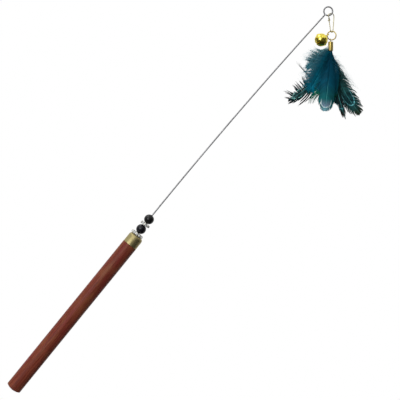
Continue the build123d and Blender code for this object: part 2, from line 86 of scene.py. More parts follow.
# Spring wire
WIRE_R = 0.6
WIRE_ASIDE = 0.9
WIRE_FOOT = 45.0
BOW_START = 1.0
BOW_LENGTH = 211.5
BOW_ANGLE = math.radians(3.25)
KINK_R = 1.3
EYE_R = 3.5
EYE_END_ANGLE = math.radians(8.6668)
WIRE_CHAMFER = 0.12
THIN_CHAMFER = 0.08  # of the snap's and the ring's wire
STAPLE_CHAMFER = 0.05

# Snap; turns about the vertical are in degrees
SNAP_SEAT = np.array((208.2001, 0.0, 242.9313))
SNAP_TURN = 45.0
SNAP_RISE = 1.1744
SNAP_R = 0.35
SNAP_TOP_WIDTH = 8.2
SNAP_TOP_LEFT = -0.27 * SNAP_TOP_WIDTH
SNAP_TOP_RIGHT = SNAP_TOP_WIDTH + SNAP_TOP_LEFT
SNAP_TOP_SLOPE = 3.2 / SNAP_TOP_WIDTH
SNAP_LEFT_R = 1.2
SNAP_RIGHT_R = 2.8
SNAP_FOOT_UP = -13.4096
SNAP_FOOT_WIDTH = 3.2
SNAP_FOOT_R = 1.5
SEAM_MARGIN = 0.01  # keeps the foot's last arc short of the seam
GATE_ACROSS = 0.9
GATE_BEHIND = 0.98
GATE_TUCK = 0.1  # how far the gate starts below the seam
GATE_STUB = 0.5
GATE_ROOT_R = 2.0
GATE_KNEE_UP = SNAP_RISE - 7.2
GATE_KNEE_R = 6.0
GATE_TIP_UP = SNAP_RISE - 3.2
GATE_TIP_OUT = 1.02
HOOK_SHARE = 0.43
HOOK_REACH = 1.05
HOOK_R = 0.4

# Jump ring and the eye pin that hangs on it
RING_CENTRE = np.array((209.9679, 1.7678, 226.8916))
RING_TURN = -12.0
RING_R = 3.55
RING_WIRE_R = 0.45
RING_ENDS = np.radians((40.0, 397.0))
EYELET_SEAT_ANGLE = math.radians(257.0)
EYELET_CENTRE = np.array((209.1868, 1.9338, 223.3026))
EYELET_R = 1.0
EYELET_WIRE_R = 0.3
EYELET_SHANK = 3.0

# Bell
BELL_CENTRE = np.array((201.408, 0.4422, 223.2041))
BELL_HEADING = 202.0
BELL_DROP = math.radians(36.0)
BELL_R = 5.25
BELL_INNER_R = 4.85
BELL_RIM_R = 5.65
BELL_RIM = 0.35
BELL_RIM_ROUND = 0.2
BELL_RIM_FOOT = 0.45  # height above the seam where the rim meets the shell
BELL_LOOP_R = 1.25
BELL_LOOP_CROWN = 6.9094
BELL_LOOP_WIRE_R = 0.35
BELL_SLOT_HALF = 0.55
BELL_SLOT_REACH = 3.6
BELL_SLOT_END_R = 0.95
BELL_SLOT_TOP = -1.0
CUT_OVERRUN = 1.0

# Crimp cap
CAP_TOP_POINT = np.array((209.1868, 1.9338, 221.9526))
CAP_R = 2.0
CAP_INNER_R = 1.65
CAP_LENGTH = 7.2
CAP_TOP = 0.5
CAP_ROUND = 0.5
CAP_EDGE = 0.08
PLUG_BULGE = 0.7

# Feathers: size, the tuft's swing, and the room that their down keeps from the bell
FEATHER_LENGTH = 56.0
VANE_HALF_WIDTH = 8.4
QUILL_CIRCLE_R = 1.1
LURE_SWING = math.radians(30.0)
BELL_ROOM = 0.3

# Meshes: the angle that stays a crease, and how near points are one, in metres
CREASE = math.radians(38.0)
MERGE_WITHIN = 1e-7
FLAT_WITHIN = 1e-8


def heading(degrees):
    """Level unit vector, turned about the vertical from +X."""
    angle = math.radians(degrees)
    return np.array((math.cos(angle), math.sin(angle), 0.0))


def tint(red, green, blue):
    """Linear colour from the usual 0 to 255 values."""
    c = np.array((red, green, blue)) / 255.0
    linear = np.where(c <= 0.04045, c / 12.92, ((c + 0.055) / 1.055) ** 2.4)
    return (*linear.tolist(), 1.0)


# Directions
ORIGIN = np.zeros(3)
UP = np.array((0.0, 0.0, 1.0))
LEVEL = np.array((0.0, 1.0, 0.0))
WAND_AXIS = np.array((math.cos(WAND_LEAN), 0.0, math.sin(WAND_LEAN)))
WAND_SIDE = np.array((WAND_AXIS[2], 0.0, -WAND_AXIS[0]))
WIRE_LINE = -WAND_SIDE * WIRE_ASIDE
SNAP_ACROSS = heading(SNAP_TURN)
SNAP_BEHIND = heading(SNAP_TURN + 90)
RING_ACROSS = heading(RING_TURN)
BELL_UP = UP * math.sin(BELL_DROP) - heading(BELL_HEADING) * math.cos(BELL_DROP)
BELL_ACROSS = heading(BELL_HEADING + 90)
BELL_OTHER = np.cross(BELL_UP, BELL_ACROSS)

# Heights along the wand, from the middle of the handle
SHOULDER = HANDLE_LENGTH / 2
FERRULE_TOP = SHOULDER + FERRULE_HEIGHT
LOOSE_SEAT = math.sqrt(BEAD_R ** 2 - RUN_BORE_R ** 2)
GLUED_SEAT = math.sqrt(BEAD_R ** 2 - GLUED_BORE_R ** 2)
LOWER_RONDELLE = FERRULE_TOP + STACK_GAP
LOWER_BEAD = LOWER_RONDELLE + RONDELLE_HEIGHT + STACK_GAP + LOOSE_SEAT
UPPER_RONDELLE = LOWER_BEAD + LOOSE_SEAT + STACK_GAP
UPPER_BEAD = UPPER_RONDELLE + RONDELLE_HEIGHT + STACK_GAP + GLUED_SEAT
BOW_FOOT = UPPER_BEAD + BEAD_R + BOW_START

# Meshes from arrays


def new_object(name, data):
    """An object in the scene for a mesh, a lamp or a camera."""
    piece = bpy.data.objects.new(name, data)
    bpy.context.scene.collection.objects.link(piece)
    return piece


def plain_object(name, points, faces):
    """An object from points in millimetres and rows of corner numbers."""
    mesh = bpy.data.meshes.new(name)
    mesh.from_pydata((points * MM).tolist(), [], faces.tolist())
    mesh.update()
    return new_object(name, mesh)


def shade(mesh, smooth):
    """Every face smooth, or every face flat."""
    mesh.polygons.foreach_set("use_smooth", np.full(len(mesh.polygons), smooth))


def creased(mesh):
    """Smooth faces, with a crease where two meet at a sharp angle."""
    shade(mesh, True)
    mesh.set_sharp_from_angle(angle=CREASE)
    mesh.update()


def lay_mesh(name, shape, body, node, finish, merge=True):
    """One piece from its (points, faces), on its body and in place of the part's node. A piece with no
    body yet is left free, and loose strands aren't merged."""
    piece = plain_object(name, *shape)
    mesh = piece.data
    if merge:
        work = bmesh.new()
        work.from_mesh(mesh)
        bmesh.ops.remove_doubles(work, verts=work.verts, dist=MERGE_WITHIN)
        bmesh.ops.dissolve_degenerate(work, dist=FLAT_WITHIN, edges=work.edges)
        work.to_mesh(mesh)
        work.free()
        creased(mesh)
    else:
        shade(mesh, True)
    mesh.materials.append(finish)
    if body:
        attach(piece, body)
    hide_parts(node)
    return piece


def joined(*shapes):
    """Several (points, faces) as one."""
    firsts = np.cumsum([0] + [len(points) for points, _ in shapes[:-1]])
    points = np.concatenate([points for points, _ in shapes])
    return points, np.concatenate([faces + first for (_, faces), first in zip(shapes, firsts)])


def grid_faces(rows, columns, wrap=False):
    """Corner numbers of the quads of a grid whose columns close on themselves, and its rows too
    where they wrap."""
    i, j = np.meshgrid(np.arange(rows if wrap else rows - 1), np.arange(columns), indexing="ij")
    after, above = (j + 1) % columns, (i + 1) % rows
    quads = (i * columns + j, i * columns + after, above * columns + after, above * columns + j)
    return np.stack(quads, -1).reshape(-1, 4)


def turned(profile, centre, axis, sides, wrap=False, reference=LEVEL):
    """A turned piece: each (radius r, height h) of the profile goes round the axis as
    centre + axis * h + (side * cos a + other * sin a) * r. A profile that wraps closes on itself."""
    radius, height = np.array(profile).T
    side = np.cross(reference, axis)
    side /= np.linalg.norm(side)
    other = np.cross(axis, side)
    angle = np.linspace(0, 2 * math.pi, sides, endpoint=False)
    round_way = side * np.cos(angle)[:, None] + other * np.sin(angle)[:, None]
    points = centre + axis * height[:, None, None] + round_way * radius[:, None, None]
    return points.reshape(-1, 3), grid_faces(len(radius), sides, wrap)


def arc(centre, radius, start, end, steps):
    """Points of an arc in the (radius, height) plane, angles in degrees from the radius axis."""
    angle = np.radians(np.linspace(start, end, steps))
    return np.stack((centre[0] + radius * np.cos(angle), centre[1] + radius * np.sin(angle)), -1)


def wire(path, radius, reference, sides, chamfer):
    """Round wire: at each path point, a ring of that radius square to the path's direction. The two
    ends close with a small chamfer and a flat."""
    along = np.gradient(path, axis=0)
    along /= np.linalg.norm(along, axis=1, keepdims=True)
    side = np.cross(along, reference)
    side /= np.linalg.norm(side, axis=1, keepdims=True)
    other = np.cross(side, along)
    ends = np.array((0.0, radius - chamfer, radius))
    first = path[:1] + along[:1] * chamfer
    last = path[-1:] - along[-1:] * chamfer
    centre = np.concatenate((path[[0, 0]], first, path[1:-1], last, path[[-1, -1]]))
    pick = np.r_[0, 0, 0, np.arange(1, len(path) - 1), -1, -1, -1]
    size = np.r_[ends, np.full(len(path) - 2, radius), ends[::-1]]
    angle = np.linspace(0, 2 * math.pi, sides, endpoint=False)
    ring = side[pick][:, None] * np.cos(angle)[:, None] - other[pick][:, None] * np.sin(angle)[:, None]
    points = centre[:, None] + ring * size[:, None, None]
    return points.reshape(-1, 3), grid_faces(len(centre), sides)


def rounded(points, radii, steps=9):
    """Straight runs from point to point, with an arc of each radius in the inner corners. An arc is
    its centre plus (start way * sin(w - t) + end way * sin(t)) / sin(w), t from 0 to w."""
    path = [points[:1]]
    for before, corner, after, radius in zip(points, points[1:], points[2:], radii):
        into = (corner - before) / np.linalg.norm(corner - before)
        out = (after - corner) / np.linalg.norm(after - corner)
        turn = math.acos(np.clip(into @ out, -1, 1))
        bisector = (out - into) / np.linalg.norm(out - into)
        middle = corner + bisector * radius / math.cos(turn / 2)
        start = corner - into * radius * math.tan(turn / 2) - middle
        stop = corner + out * radius * math.tan(turn / 2) - middle
        t = np.linspace(0, turn, steps)[:, None]
        path.append(middle + (start * np.sin(turn - t) + stop * np.sin(t)) / math.sin(turn))
    path.append(points[-1:])
    return np.concatenate(path)


def refined(path, step):
    """The same path with long straight runs cut into pieces no longer than the step."""
    gaps = np.linalg.norm(np.diff(path, axis=0), axis=1)
    counts = np.maximum(np.ceil(gaps / step).astype(int), 1)
    pieces = [
        start + (end - start) * np.linspace(0, 1, count, endpoint=False)[:, None]
        for start, end, count in zip(path, path[1:], counts)
    ]
    return np.concatenate(pieces + [path[-1:]])


# Node helpers; each value is a socket or a plain value


def put(tree, socket, value):
    """Feed a socket from another one, or set its value."""
    if isinstance(value, bpy.types.NodeSocket):
        tree.links.new(value, socket)
    else:
        socket.default_value = value


def put_all(tree, node, **values):
    """Feed a node's inputs by name, with an underscore for each space."""
    for key, value in values.items():
        put(tree, node.inputs[key.replace("_", " ")], value)


def add(tree, kind, **values):
    """A new shader node with its inputs fed by name."""
    node = tree.nodes.new("ShaderNode" + kind)
    put_all(tree, node, **values)
    return node


def new_finish(name):
    """A material with its node tree and its one shader."""
    finish = bpy.data.materials.new(name)
    finish.use_nodes = True
    return finish, finish.node_tree, finish.node_tree.nodes["Principled BSDF"]


def calc(tree, operation, *operands):
    """One step of arithmetic."""
    node = add(tree, "Math")
    node.operation = operation
    for socket, value in zip(node.inputs, operands):
        put(tree, socket, value)
    return node.outputs[0]


def smooth_step(tree, value, low, high):
    """0 below low, 1 above high, eased between; with low above high it falls instead."""
    node = add(tree, "MapRange", Value=value, From_Min=low, From_Max=high)
    node.interpolation_type = "SMOOTHSTEP"
    return node.outputs["Result"]


def blend_colour(tree, mask, first, second, mode="MIX"):
    """Second colour over first where the mask is 1."""
    node = add(tree, "Mix")
    node.data_type = "RGBA"
    node.blend_type = mode
    for number, value in ((0, mask), (6, first), (7, second)):
        put(tree, node.inputs[number], value)
    return node.outputs[2]


def stained(tree, colour, mask, share, stain):
    """The colour with a share of the stain where the mask is 1."""
    return blend_colour(tree, calc(tree, "MULTIPLY", mask, share), colour, stain)


def noise(tree, vector, scale, detail, roughness=0.5):
    """Cloudy values about 0.5, finer with more scale and detail."""
    node = add(tree, "TexNoise", Vector=vector, Scale=scale, Detail=detail, Roughness=roughness)
    return node.outputs["Fac"]


def bump(tree, height, strength, distance):
    """A normal from heights, with the distance in metres."""
    return add(tree, "Bump", Height=height, Strength=strength, Distance=distance).outputs["Normal"]


def object_place(tree):
    """Object coordinates, in metres."""
    return add(tree, "TexCoord").outputs["Object"]


def wand_place(tree, squeeze):
    """Object coordinates turned so that Z runs up the wand, then squeezed along it."""
    turn = add(tree, "Mapping", Vector=object_place(tree), Rotation=(0.0, WAND_LEAN - math.pi / 2, 0.0))
    scale = add(tree, "Mapping", Vector=turn.outputs["Vector"], Scale=(1.0, 1.0, squeeze))
    return scale.outputs["Vector"]


def new_group(name, inputs, outputs):
    """A shader node group with float sockets, as the group, the sockets of what comes in and the node
    of what goes out."""
    group = bpy.data.node_groups.new(name, "ShaderNodeTree")
    for way, keys in (("INPUT", inputs), ("OUTPUT", outputs)):
        for key in keys:
            group.interface.new_socket(key, in_out=way, socket_type="NodeSocketFloat")
    return group, group.nodes.new("NodeGroupInput").outputs, group.nodes.new("NodeGroupOutput")


def use_group(tree, group):
    """A node that uses a shared group."""
    node = add(tree, "Group")
    node.node_tree = group
    return node


# Finishes


def oiled_wood():
    """Red-brown hardwood under a thin oil: long streaks with broad bands, patches and dark pores over
    them, all drawn out along the wand."""
    finish, tree, skin = new_finish("oiled_wood")
    streaks = noise(tree, wand_place(tree, 0.045), 1100.0, 5.0, 0.62)
    bands = noise(tree, wand_place(tree, 0.06), 240.0, 3.0)
    patches = noise(tree, wand_place(tree, 0.22), 190.0, 3.0, 0.55)
    pore = smooth_step(tree, noise(tree, wand_place(tree, 0.035), 4200.0, 2.0), 0.60, 0.70)
    colour = blend_colour(tree, smooth_step(tree, streaks, 0.30, 0.72), tint(102, 39, 25), tint(140, 68, 47))
    for mask, share, stain in (
        (smooth_step(tree, bands, 0.42, 0.66), 0.55, tint(108, 40, 32)),
        (smooth_step(tree, patches, 0.50, 0.66), 0.6, tint(136, 80, 48)),
        (smooth_step(tree, patches, 0.48, 0.34), 0.6, tint(124, 40, 38)),
        (pore, 0.55, tint(62, 26, 19)),
    ):
        colour = stained(tree, colour, mask, share, stain)
    height = calc(tree, "SUBTRACT", streaks, calc(tree, "MULTIPLY", pore, 0.8))
    put_all(tree, skin, Base_Color=colour, Roughness=calc(tree, "MULTIPLY_ADD", streaks, 0.22, 0.38),
            Normal=bump(tree, height, 0.16, 0.0002), Specular_IOR_Level=0.20)
    return finish


def metal_wear_group():
    """Shared by the metals: soft smudges and fine scratches in Object coordinates. Smudge and
    Scratch are masks from 0 to 1."""
    group, source, sink = new_group("metal_wear", ("Smudge Scale", "Scratch Scale"), ("Smudge", "Scratch"))
    place = object_place(group)
    squeeze = add(group, "Mapping", Vector=place, Rotation=(0.5, 0.3, 0.9), Scale=(1.0, 0.08, 1.0))
    smudge = noise(group, place, source["Smudge Scale"], 3.0)
    scratch = noise(group, squeeze.outputs["Vector"], source["Scratch Scale"], 2.0)
    put_all(group, sink, Smudge=smooth_step(group, smudge, 0.35, 0.7),
            Scratch=smooth_step(group, scratch, 0.56, 0.68))
    return group


METAL_WEAR = metal_wear_group()


def metal(name, bright, dull, roughness, smudge_scale, scratch_scale, dulling=0.5, relief=0.025,
          metallic=1.0):
    """Metal that is dull where it is smudged, with fine scratches that roughen and lift it."""
    finish, tree, skin = new_finish(name)
    wear = use_group(tree, METAL_WEAR)
    put_all(tree, wear, Smudge_Scale=smudge_scale, Scratch_Scale=scratch_scale)
    smudge, scratch = wear.outputs["Smudge"], wear.outputs["Scratch"]
    rough = calc(tree, "MULTIPLY_ADD", scratch, 0.08, calc(tree, "MULTIPLY_ADD", smudge, 0.10, roughness))
    put_all(tree, skin, Base_Color=stained(tree, bright, smudge, dulling, dull), Roughness=rough,
            Normal=bump(tree, scratch, relief, 0.00005), Metallic=metallic)
    return finish


def polished_black(name, deep, sheen_colour):
    """Polished black bead with faint cloudy depth and a few hairline marks."""
    finish, tree, skin = new_finish(name)
    cloud = smooth_step(tree, noise(tree, object_place(tree), 420.0, 5.0, 0.6), 0.4, 0.7)
    marks = noise(tree, object_place(tree), 2600.0, 3.0, 0.6)
    put_all(tree, skin, Base_Color=blend_colour(tree, cloud, deep, sheen_colour),
            Roughness=calc(tree, "MULTIPLY_ADD", marks, 0.16, 0.26),
            Normal=bump(tree, marks, 0.03, 0.00005), Specular_IOR_Level=0.32)
    return finish


def cut_crystal():
    """Foil-backed cut stones: bright, with a faint shift of colour from facet to facet."""
    finish, tree, skin = new_finish("cut_crystal")
    shift = noise(tree, object_place(tree), 900.0, 1.0)
    colour = blend_colour(tree, smooth_step(tree, shift, 0.4, 0.6), tint(240, 242, 244), tint(200, 206, 212))
    put_all(tree, skin, Base_Color=colour, Roughness=calc(tree, "MULTIPLY_ADD", shift, 0.06, 0.02),
            Metallic=0.2, Coat_Weight=1.0, Coat_Roughness=0.02)
    return finish


def dark_glue():
    """Lumpy dark glue, glossier in its hollows."""
    finish, tree, skin = new_finish("dark_glue")
    lumps = noise(tree, object_place(tree), 1500.0, 3.0)
    put_all(tree, skin, Base_Color=blend_colour(tree, lumps, tint(20, 30, 34), tint(42, 54, 58)),
            Roughness=calc(tree, "MULTIPLY_ADD", lumps, 0.3, 0.2), Normal=bump(tree, lumps, 0.4, 0.0003))
    return finish


LACE_KEYS = ("Bend", "Depth", "Reach", "Line", "Leg Start", "Waver")


def vane_marks_group():
    """Marks of a laced feather, from its own map: U runs along the shaft, V across with the shaft at
    0.5. With c the distance from the shaft and u the place along, a lace is the curve
    (c / Reach)^2 + (max(u - Bend, 0) / Depth)^2 = 1, so it is two legs joined round the tip."""
    group, source, sink = new_group("vane_marks", LACE_KEYS, ("Lace", "Inside", "Along", "Across"))
    flat = add(group, "UVMap")
    flat.uv_map = "OFBake"
    split = add(group, "SeparateXYZ", Vector=flat.outputs["UV"])
    along = split.outputs["X"]
    across = calc(group, "ABSOLUTE", calc(group, "MULTIPLY_ADD", split.outputs["Y"], 2.0, -1.0))
    ripple = noise(group, flat.outputs["UV"], 16.0, 2.0)
    drift = calc(group, "MULTIPLY", calc(group, "SUBTRACT", ripple, 0.5), source["Waver"])
    past = calc(group, "SUBTRACT", calc(group, "ADD", along, drift), source["Bend"])
    past = calc(group, "DIVIDE", calc(group, "MAXIMUM", past, 0.0), source["Depth"])
    aside = calc(group, "DIVIDE", calc(group, "ADD", across, drift), source["Reach"])
    squares = [calc(group, "POWER", part, 2.0) for part in (past, aside)]
    ring = calc(group, "SQRT", calc(group, "ADD", *squares))
    off = calc(group, "ABSOLUTE", calc(group, "SUBTRACT", ring, 1.0))
    lace = smooth_step(group, calc(group, "DIVIDE", off, source["Line"]), 1.0, 0.45)
    grown = calc(group, "SUBTRACT", along, source["Leg Start"])
    inside = smooth_step(group, ring, 1.0, 0.86)
    put_all(group, sink, Along=along, Across=across,
            Lace=calc(group, "MULTIPLY", lace, smooth_step(group, grown, 0.0, 0.08)),
            Inside=calc(group, "MULTIPLY", inside, smooth_step(group, grown, 0.0, 0.15)))
    return group


VANE_MARKS = vane_marks_group()
STRAND_KEYS = ("barb_tone", "downy", "shaft", "barb_run")
SHAFT_ROOT = tint(4, 60, 80)
# The shaft's tip colour: a pale shaft, made brighter still by a painted highlight along it
SHAFT_TIP_AND_HIGHLIGHT = tint(96, 196, 198)


def feather_finish(name, root, field, edge, fringe, fringe_from, down, edge_from=0.7, late=None, lace=None,
                   heart=None, lace_shape=(), contrast=0.5, shaft_share=0.8):
    """Dyed feather: deep colour at the root, the field with its late colour towards the tip, worn edges
    and a fringe, then one lace round a heart of its own colour. Each barb has its own tone, the down has
    a colour of its own, and the shaft is dark at its root and bright near its tip, where its pale colour
    carries a painted highlight too."""
    finish, tree, skin = new_finish(name)
    marks = use_group(tree, VANE_MARKS)
    for key, value in zip(LACE_KEYS, lace_shape):
        marks.inputs[key].default_value = value
    values = []
    for key in STRAND_KEYS:
        node = add(tree, "Attribute")
        node.attribute_name = key
        values.append(node.outputs["Fac"])
    tone, downy, shaft, run = values
    along, across = marks.outputs["Along"], marks.outputs["Across"]
    colour = blend_colour(tree, smooth_step(tree, along, 0.12, 0.5), root, field)
    if late:
        colour = blend_colour(tree, smooth_step(tree, along, 0.5, 0.8), colour, late)
    worn = smooth_step(tree, across, edge_from, 1.05)
    colour = stained(tree, colour, worn, smooth_step(tree, along, 0.2, 0.5), edge)
    colour = blend_colour(tree, smooth_step(tree, along, fringe_from, fringe_from + 0.1), colour, fringe)
    if lace:
        colour = stained(tree, colour, marks.outputs["Inside"], 0.8, heart)
        colour = blend_colour(tree, marks.outputs["Lace"], colour, lace)
    colour = blend_colour(tree, downy, colour, field)
    colour = stained(tree, colour, downy, smooth_step(tree, run, 0.1, 1.0), down)
    light = calc(tree, "MULTIPLY_ADD", tone, contrast, 1.0 - contrast / 2)
    colour = blend_colour(tree, 1.0, colour, light, "MULTIPLY")
    # The quill's bright tip is partly its own pale colour and partly a painted highlight
    quill = blend_colour(tree, smooth_step(tree, along, 0.42, 0.72), SHAFT_ROOT, SHAFT_TIP_AND_HIGHLIGHT)
    put_all(tree, skin, Base_Color=stained(tree, colour, shaft, shaft_share, quill),
            Roughness=calc(tree, "MULTIPLY_ADD", tone, 0.2, 0.45), Specular_IOR_Level=0.05)
    return finish


# Each metal: bright and dull colours, roughness, then the scales of its smudges and its scratches
brass = metal("drawn_brass", tint(168, 156, 112), tint(140, 128, 86), 0.48, 260.0, 1800.0)
cap_brass = metal("cap_brass", tint(190, 169, 97), tint(154, 131, 68), 0.42, 420.0, 2200.0)
gold_wire = metal("gold_wire", tint(212, 204, 164), tint(172, 160, 112), 0.36, 700.0, 2600.0)
ring_gold = metal("ring_gold", tint(206, 188, 108), tint(120, 84, 42), 0.30, 240.0, 2600.0, dulling=0.9)
gold_bell = metal("gold_bell", tint(242, 224, 96), tint(222, 194, 66), 0.10, 320.0, 1500.0, dulling=0.35)
silver = metal("silver_plate", tint(240, 238, 230), tint(206, 204, 194), 0.36, 500.0, 2200.0, metallic=0.55)
pellet = metal("pellet_steel", tint(150, 150, 152), tint(110, 110, 112), 0.35, 500.0, 2200.0)
drawn_steel = metal("drawn_steel", tint(150, 150, 152), tint(128, 128, 130), 0.42, 90.0, 2500.0, relief=0.0)
lower_black = polished_black("lower_bead_black", tint(11, 11, 18), tint(22, 21, 32))
upper_black = polished_black("upper_bead_black", tint(12, 12, 13), tint(26, 26, 27))
crystal = cut_crystal()

# Handle, ferrule and beads


def handle_profile():
    """Domed butt, an easing arc that touches the dome from inside and the side, straight side,
    shoulder and spigot, as (radius, height)."""
    dome_r = (HANDLE_R ** 2 + BUTT_RISE ** 2) / (2 * BUTT_RISE)
    dome_centre = dome_r - SHOULDER
    ease_x = HANDLE_R - BUTT_ROUND
    ease_z = dome_centre - math.sqrt((dome_r - BUTT_ROUND) ** 2 - ease_x ** 2)
    meet = math.degrees(math.atan2(ease_z - dome_centre, ease_x))
    dome = arc((0.0, dome_centre), dome_r, -90.0, meet, steps=14)
    ease = arc((ease_x, ease_z), BUTT_ROUND, meet, 0.0, steps=8)[1:]
    heights = np.linspace(ease_z, SHOULDER - SHOULDER_EASE, 61)[1:]
    side = np.stack((np.full(len(heights), HANDLE_R), heights), -1)
    spigot_r = FERRULE_R - FERRULE_WALL - GLUE_GAP
    top = FERRULE_TOP - FERRULE_WALL - GLUE_GAP
    step = FERRULE_ROUND - FERRULE_WALL
    rest = [(HANDLE_R - SHOULDER_EASE, SHOULDER), (spigot_r, SHOULDER), (spigot_r, top - step),
            (spigot_r - step, top), (0.0, top)]
    return np.concatenate((dome, ease, side, rest))


def ferrule_profile():
    """Thin cap, from the inner ceiling down its inside, round the lip and up over the rounded top."""
    inner_r, ceiling = FERRULE_R - FERRULE_WALL, FERRULE_TOP - FERRULE_WALL
    inner_round = FERRULE_ROUND - FERRULE_WALL
    inner_centre = (inner_r - inner_round, ceiling - inner_round)
    inside = arc(inner_centre, inner_round, 90.0, 0.0, steps=10)
    edge = [(inner_r, SHOULDER), (FERRULE_R - FERRULE_LIP, SHOULDER), (FERRULE_R, SHOULDER + FERRULE_LIP)]
    outer_centre = (FERRULE_R - FERRULE_ROUND, FERRULE_TOP - FERRULE_ROUND)
    outside = arc(outer_centre, FERRULE_ROUND, 0.0, 90.0, steps=18)
    return np.concatenate(([(0.0, ceiling)], inside, edge, outside, [(0.0, FERRULE_TOP)]))


def bead_profile(height, bore_r):
    """Ball with a bore: the outside from the lower rim to the upper, then back down the bore."""
    rim = math.degrees(math.acos(bore_r / BEAD_R))
    return arc((0.0, height), BEAD_R, -rim, rim, steps=48)


for turned_name, turned_profile, turned_slot, turned_node, turned_finish in (
    ("turned_handle", handle_profile(), "wood", "handle", oiled_wood()),
    ("drawn_ferrule", ferrule_profile(), "brass", "ferrule", brass),
):
    turned_shape = turned(turned_profile, ORIGIN, WAND_AXIS, sides=96)
    lay_mesh(turned_name, turned_shape, "wand", turned_node, turned_finish)

for bead_name, bead_body, bead_height, bead_bore_r, bead_finish in (
    ("lower_bead", "loose_bead", LOWER_BEAD, RUN_BORE_R, lower_black),
    ("upper_bead", "wand", UPPER_BEAD, GLUED_BORE_R, upper_black),
):
    bead_shape = turned(bead_profile(bead_height, bead_bore_r), WIRE_LINE, WAND_AXIS, sides=64, wrap=True)
    lay_mesh("round_" + bead_name, bead_shape, bead_body, bead_name, bead_finish)

# Rondelles and their stones


def lay_rondelle(name, body, foot, rim_r, cups):
    """Spacer with a hub, a web and a ring of round cups that face outward, each with a cut stone."""
    top, middle = foot + RONDELLE_HEIGHT, foot + RONDELLE_HEIGHT / 2
    low, high = middle - RONDELLE_WEB / 2, middle + RONDELLE_WEB / 2
    web_r = rim_r - CUP_DEPTH / 2
    hub = [(RUN_BORE_R, foot), (RONDELLE_HUB_R, foot), (RONDELLE_HUB_R, low), (web_r, low), (web_r, high),
           (RONDELLE_HUB_R, high), (RONDELLE_HUB_R, top), (RUN_BORE_R, top)]
    cup_r, pocket_r = RONDELLE_HEIGHT / 2, STONE_R + GLUE_GAP
    girdle, back = rim_r - STONE_SINK, rim_r - CUP_DEPTH
    culet, table = girdle - STONE_PAVILION, girdle + STONE_CROWN
    cup = [(0.0, back), (cup_r, back), (cup_r, rim_r - CUP_LIP), (cup_r - CUP_LIP, rim_r),
           (pocket_r, rim_r), (pocket_r, culet - GLUE_GAP), (0.0, culet - GLUE_GAP)]
    stone = [(0.0, culet), (STONE_CULET_R, culet), (STONE_R, girdle), (STONE_TABLE_R, table), (0.0, table)]
    centre = WIRE_LINE + WAND_AXIS * middle
    turns = np.arange(cups) * 2 * math.pi / cups
    ways = [WAND_SIDE * math.cos(turn) + LEVEL * math.sin(turn) for turn in turns]
    shapes = [turned(hub, WIRE_LINE, WAND_AXIS, sides=64, wrap=True)]
    shapes += [turned(cup, centre, way, sides=24, reference=WAND_AXIS) for way in ways]
    lay_mesh("cupped_" + name, joined(*shapes), body, name, silver)
    stones = joined(*[turned(stone, centre, way, sides=STONE_SIDES, reference=WAND_AXIS) for way in ways])
    cut = lay_mesh("cut_" + name + "_stones", stones, body, name + "_stones", crystal)
    shade(cut.data, False)


lay_rondelle("lower_rondelle", "lower_spacer", LOWER_RONDELLE, LOWER_RIM_R, LOWER_CUPS)
lay_rondelle("upper_rondelle", "upper_spacer", UPPER_RONDELLE, UPPER_RIM_R, UPPER_CUPS)

# Snap and ring


def on_snap(rows):
    """Points from rows of (across, up, behind) beside the snap's seat."""
    rows = np.asarray(rows, float)
    return SNAP_SEAT + rows[:, :1] * SNAP_ACROSS + rows[:, 1:2] * UP + rows[:, 2:] * SNAP_BEHIND


def on_ring(angle):
    """Points of the jump ring's centre line, from its right side round over its top."""
    return RING_CENTRE + (RING_ACROSS * np.cos(angle) + UP * np.sin(angle)) * RING_R


seam_up = SNAP_FOOT_UP + SNAP_FOOT_R
hook_across = GATE_ACROSS - GATE_TIP_OUT * HOOK_SHARE
hook_up = GATE_KNEE_UP + (GATE_TIP_UP - GATE_KNEE_UP) * HOOK_SHARE
hook_path = rounded(
    on_snap([
        (hook_across - HOOK_REACH, hook_up, GATE_BEHIND + SNAP_R),
        (hook_across - HOOK_REACH, hook_up, 0.0),
        (hook_across, hook_up, 0.0),
        (SNAP_TOP_LEFT, SNAP_RISE + SNAP_TOP_LEFT * SNAP_TOP_SLOPE, 0.0),
        (SNAP_TOP_RIGHT, SNAP_RISE + SNAP_TOP_RIGHT * SNAP_TOP_SLOPE, 0.0),
        (GATE_ACROSS + SNAP_FOOT_WIDTH, SNAP_FOOT_UP, 0.0),
        (GATE_ACROSS, SNAP_FOOT_UP, 0.0),
        (GATE_ACROSS, seam_up, 0.0),
    ]),
    (HOOK_R, HOOK_R, SNAP_LEFT_R, SNAP_RIGHT_R, SNAP_FOOT_R, SNAP_FOOT_R - SEAM_MARGIN),
)
# A direction that no run of the hook follows
snap_reference = SNAP_BEHIND * 0.5 + SNAP_ACROSS * 0.6 + UP * 0.62
hook_shape = wire(refined(hook_path, 1.0), SNAP_R, snap_reference, sides=14, chamfer=THIN_CHAMFER)
lay_mesh("bent_snap", hook_shape, "snap", "snap_hook", gold_wire)

gate_path = rounded(
    on_snap([
        (GATE_ACROSS, seam_up - GATE_TUCK, 0.0),
        (GATE_ACROSS, seam_up + GATE_STUB, 0.0),
        (GATE_ACROSS, GATE_KNEE_UP, GATE_BEHIND),
        (GATE_ACROSS - GATE_TIP_OUT, GATE_TIP_UP, GATE_BEHIND),
    ]),
    (GATE_ROOT_R, GATE_KNEE_R),
)
gate_shape = wire(refined(gate_path, 0.4), SNAP_R, SNAP_ACROSS, sides=14, chamfer=THIN_CHAMFER)
gate = lay_mesh("sprung_gate", gate_shape, None, "snap_gate", gold_wire)
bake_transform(gate)

ring_path = on_ring(np.linspace(*RING_ENDS, 97)[:, None])
ring_shape = wire(ring_path, RING_WIRE_R, heading(RING_TURN + 90), sides=20, chamfer=THIN_CHAMFER)
lay_mesh("split_ring", ring_shape, "ring", "jump_ring", ring_gold)

# Bell


def bell_place(rows):
    """Points from rows in the bell's own frame, its loop up."""
    return BELL_CENTRE + np.asarray(rows) @ np.array((BELL_ACROSS, BELL_OTHER, BELL_UP))


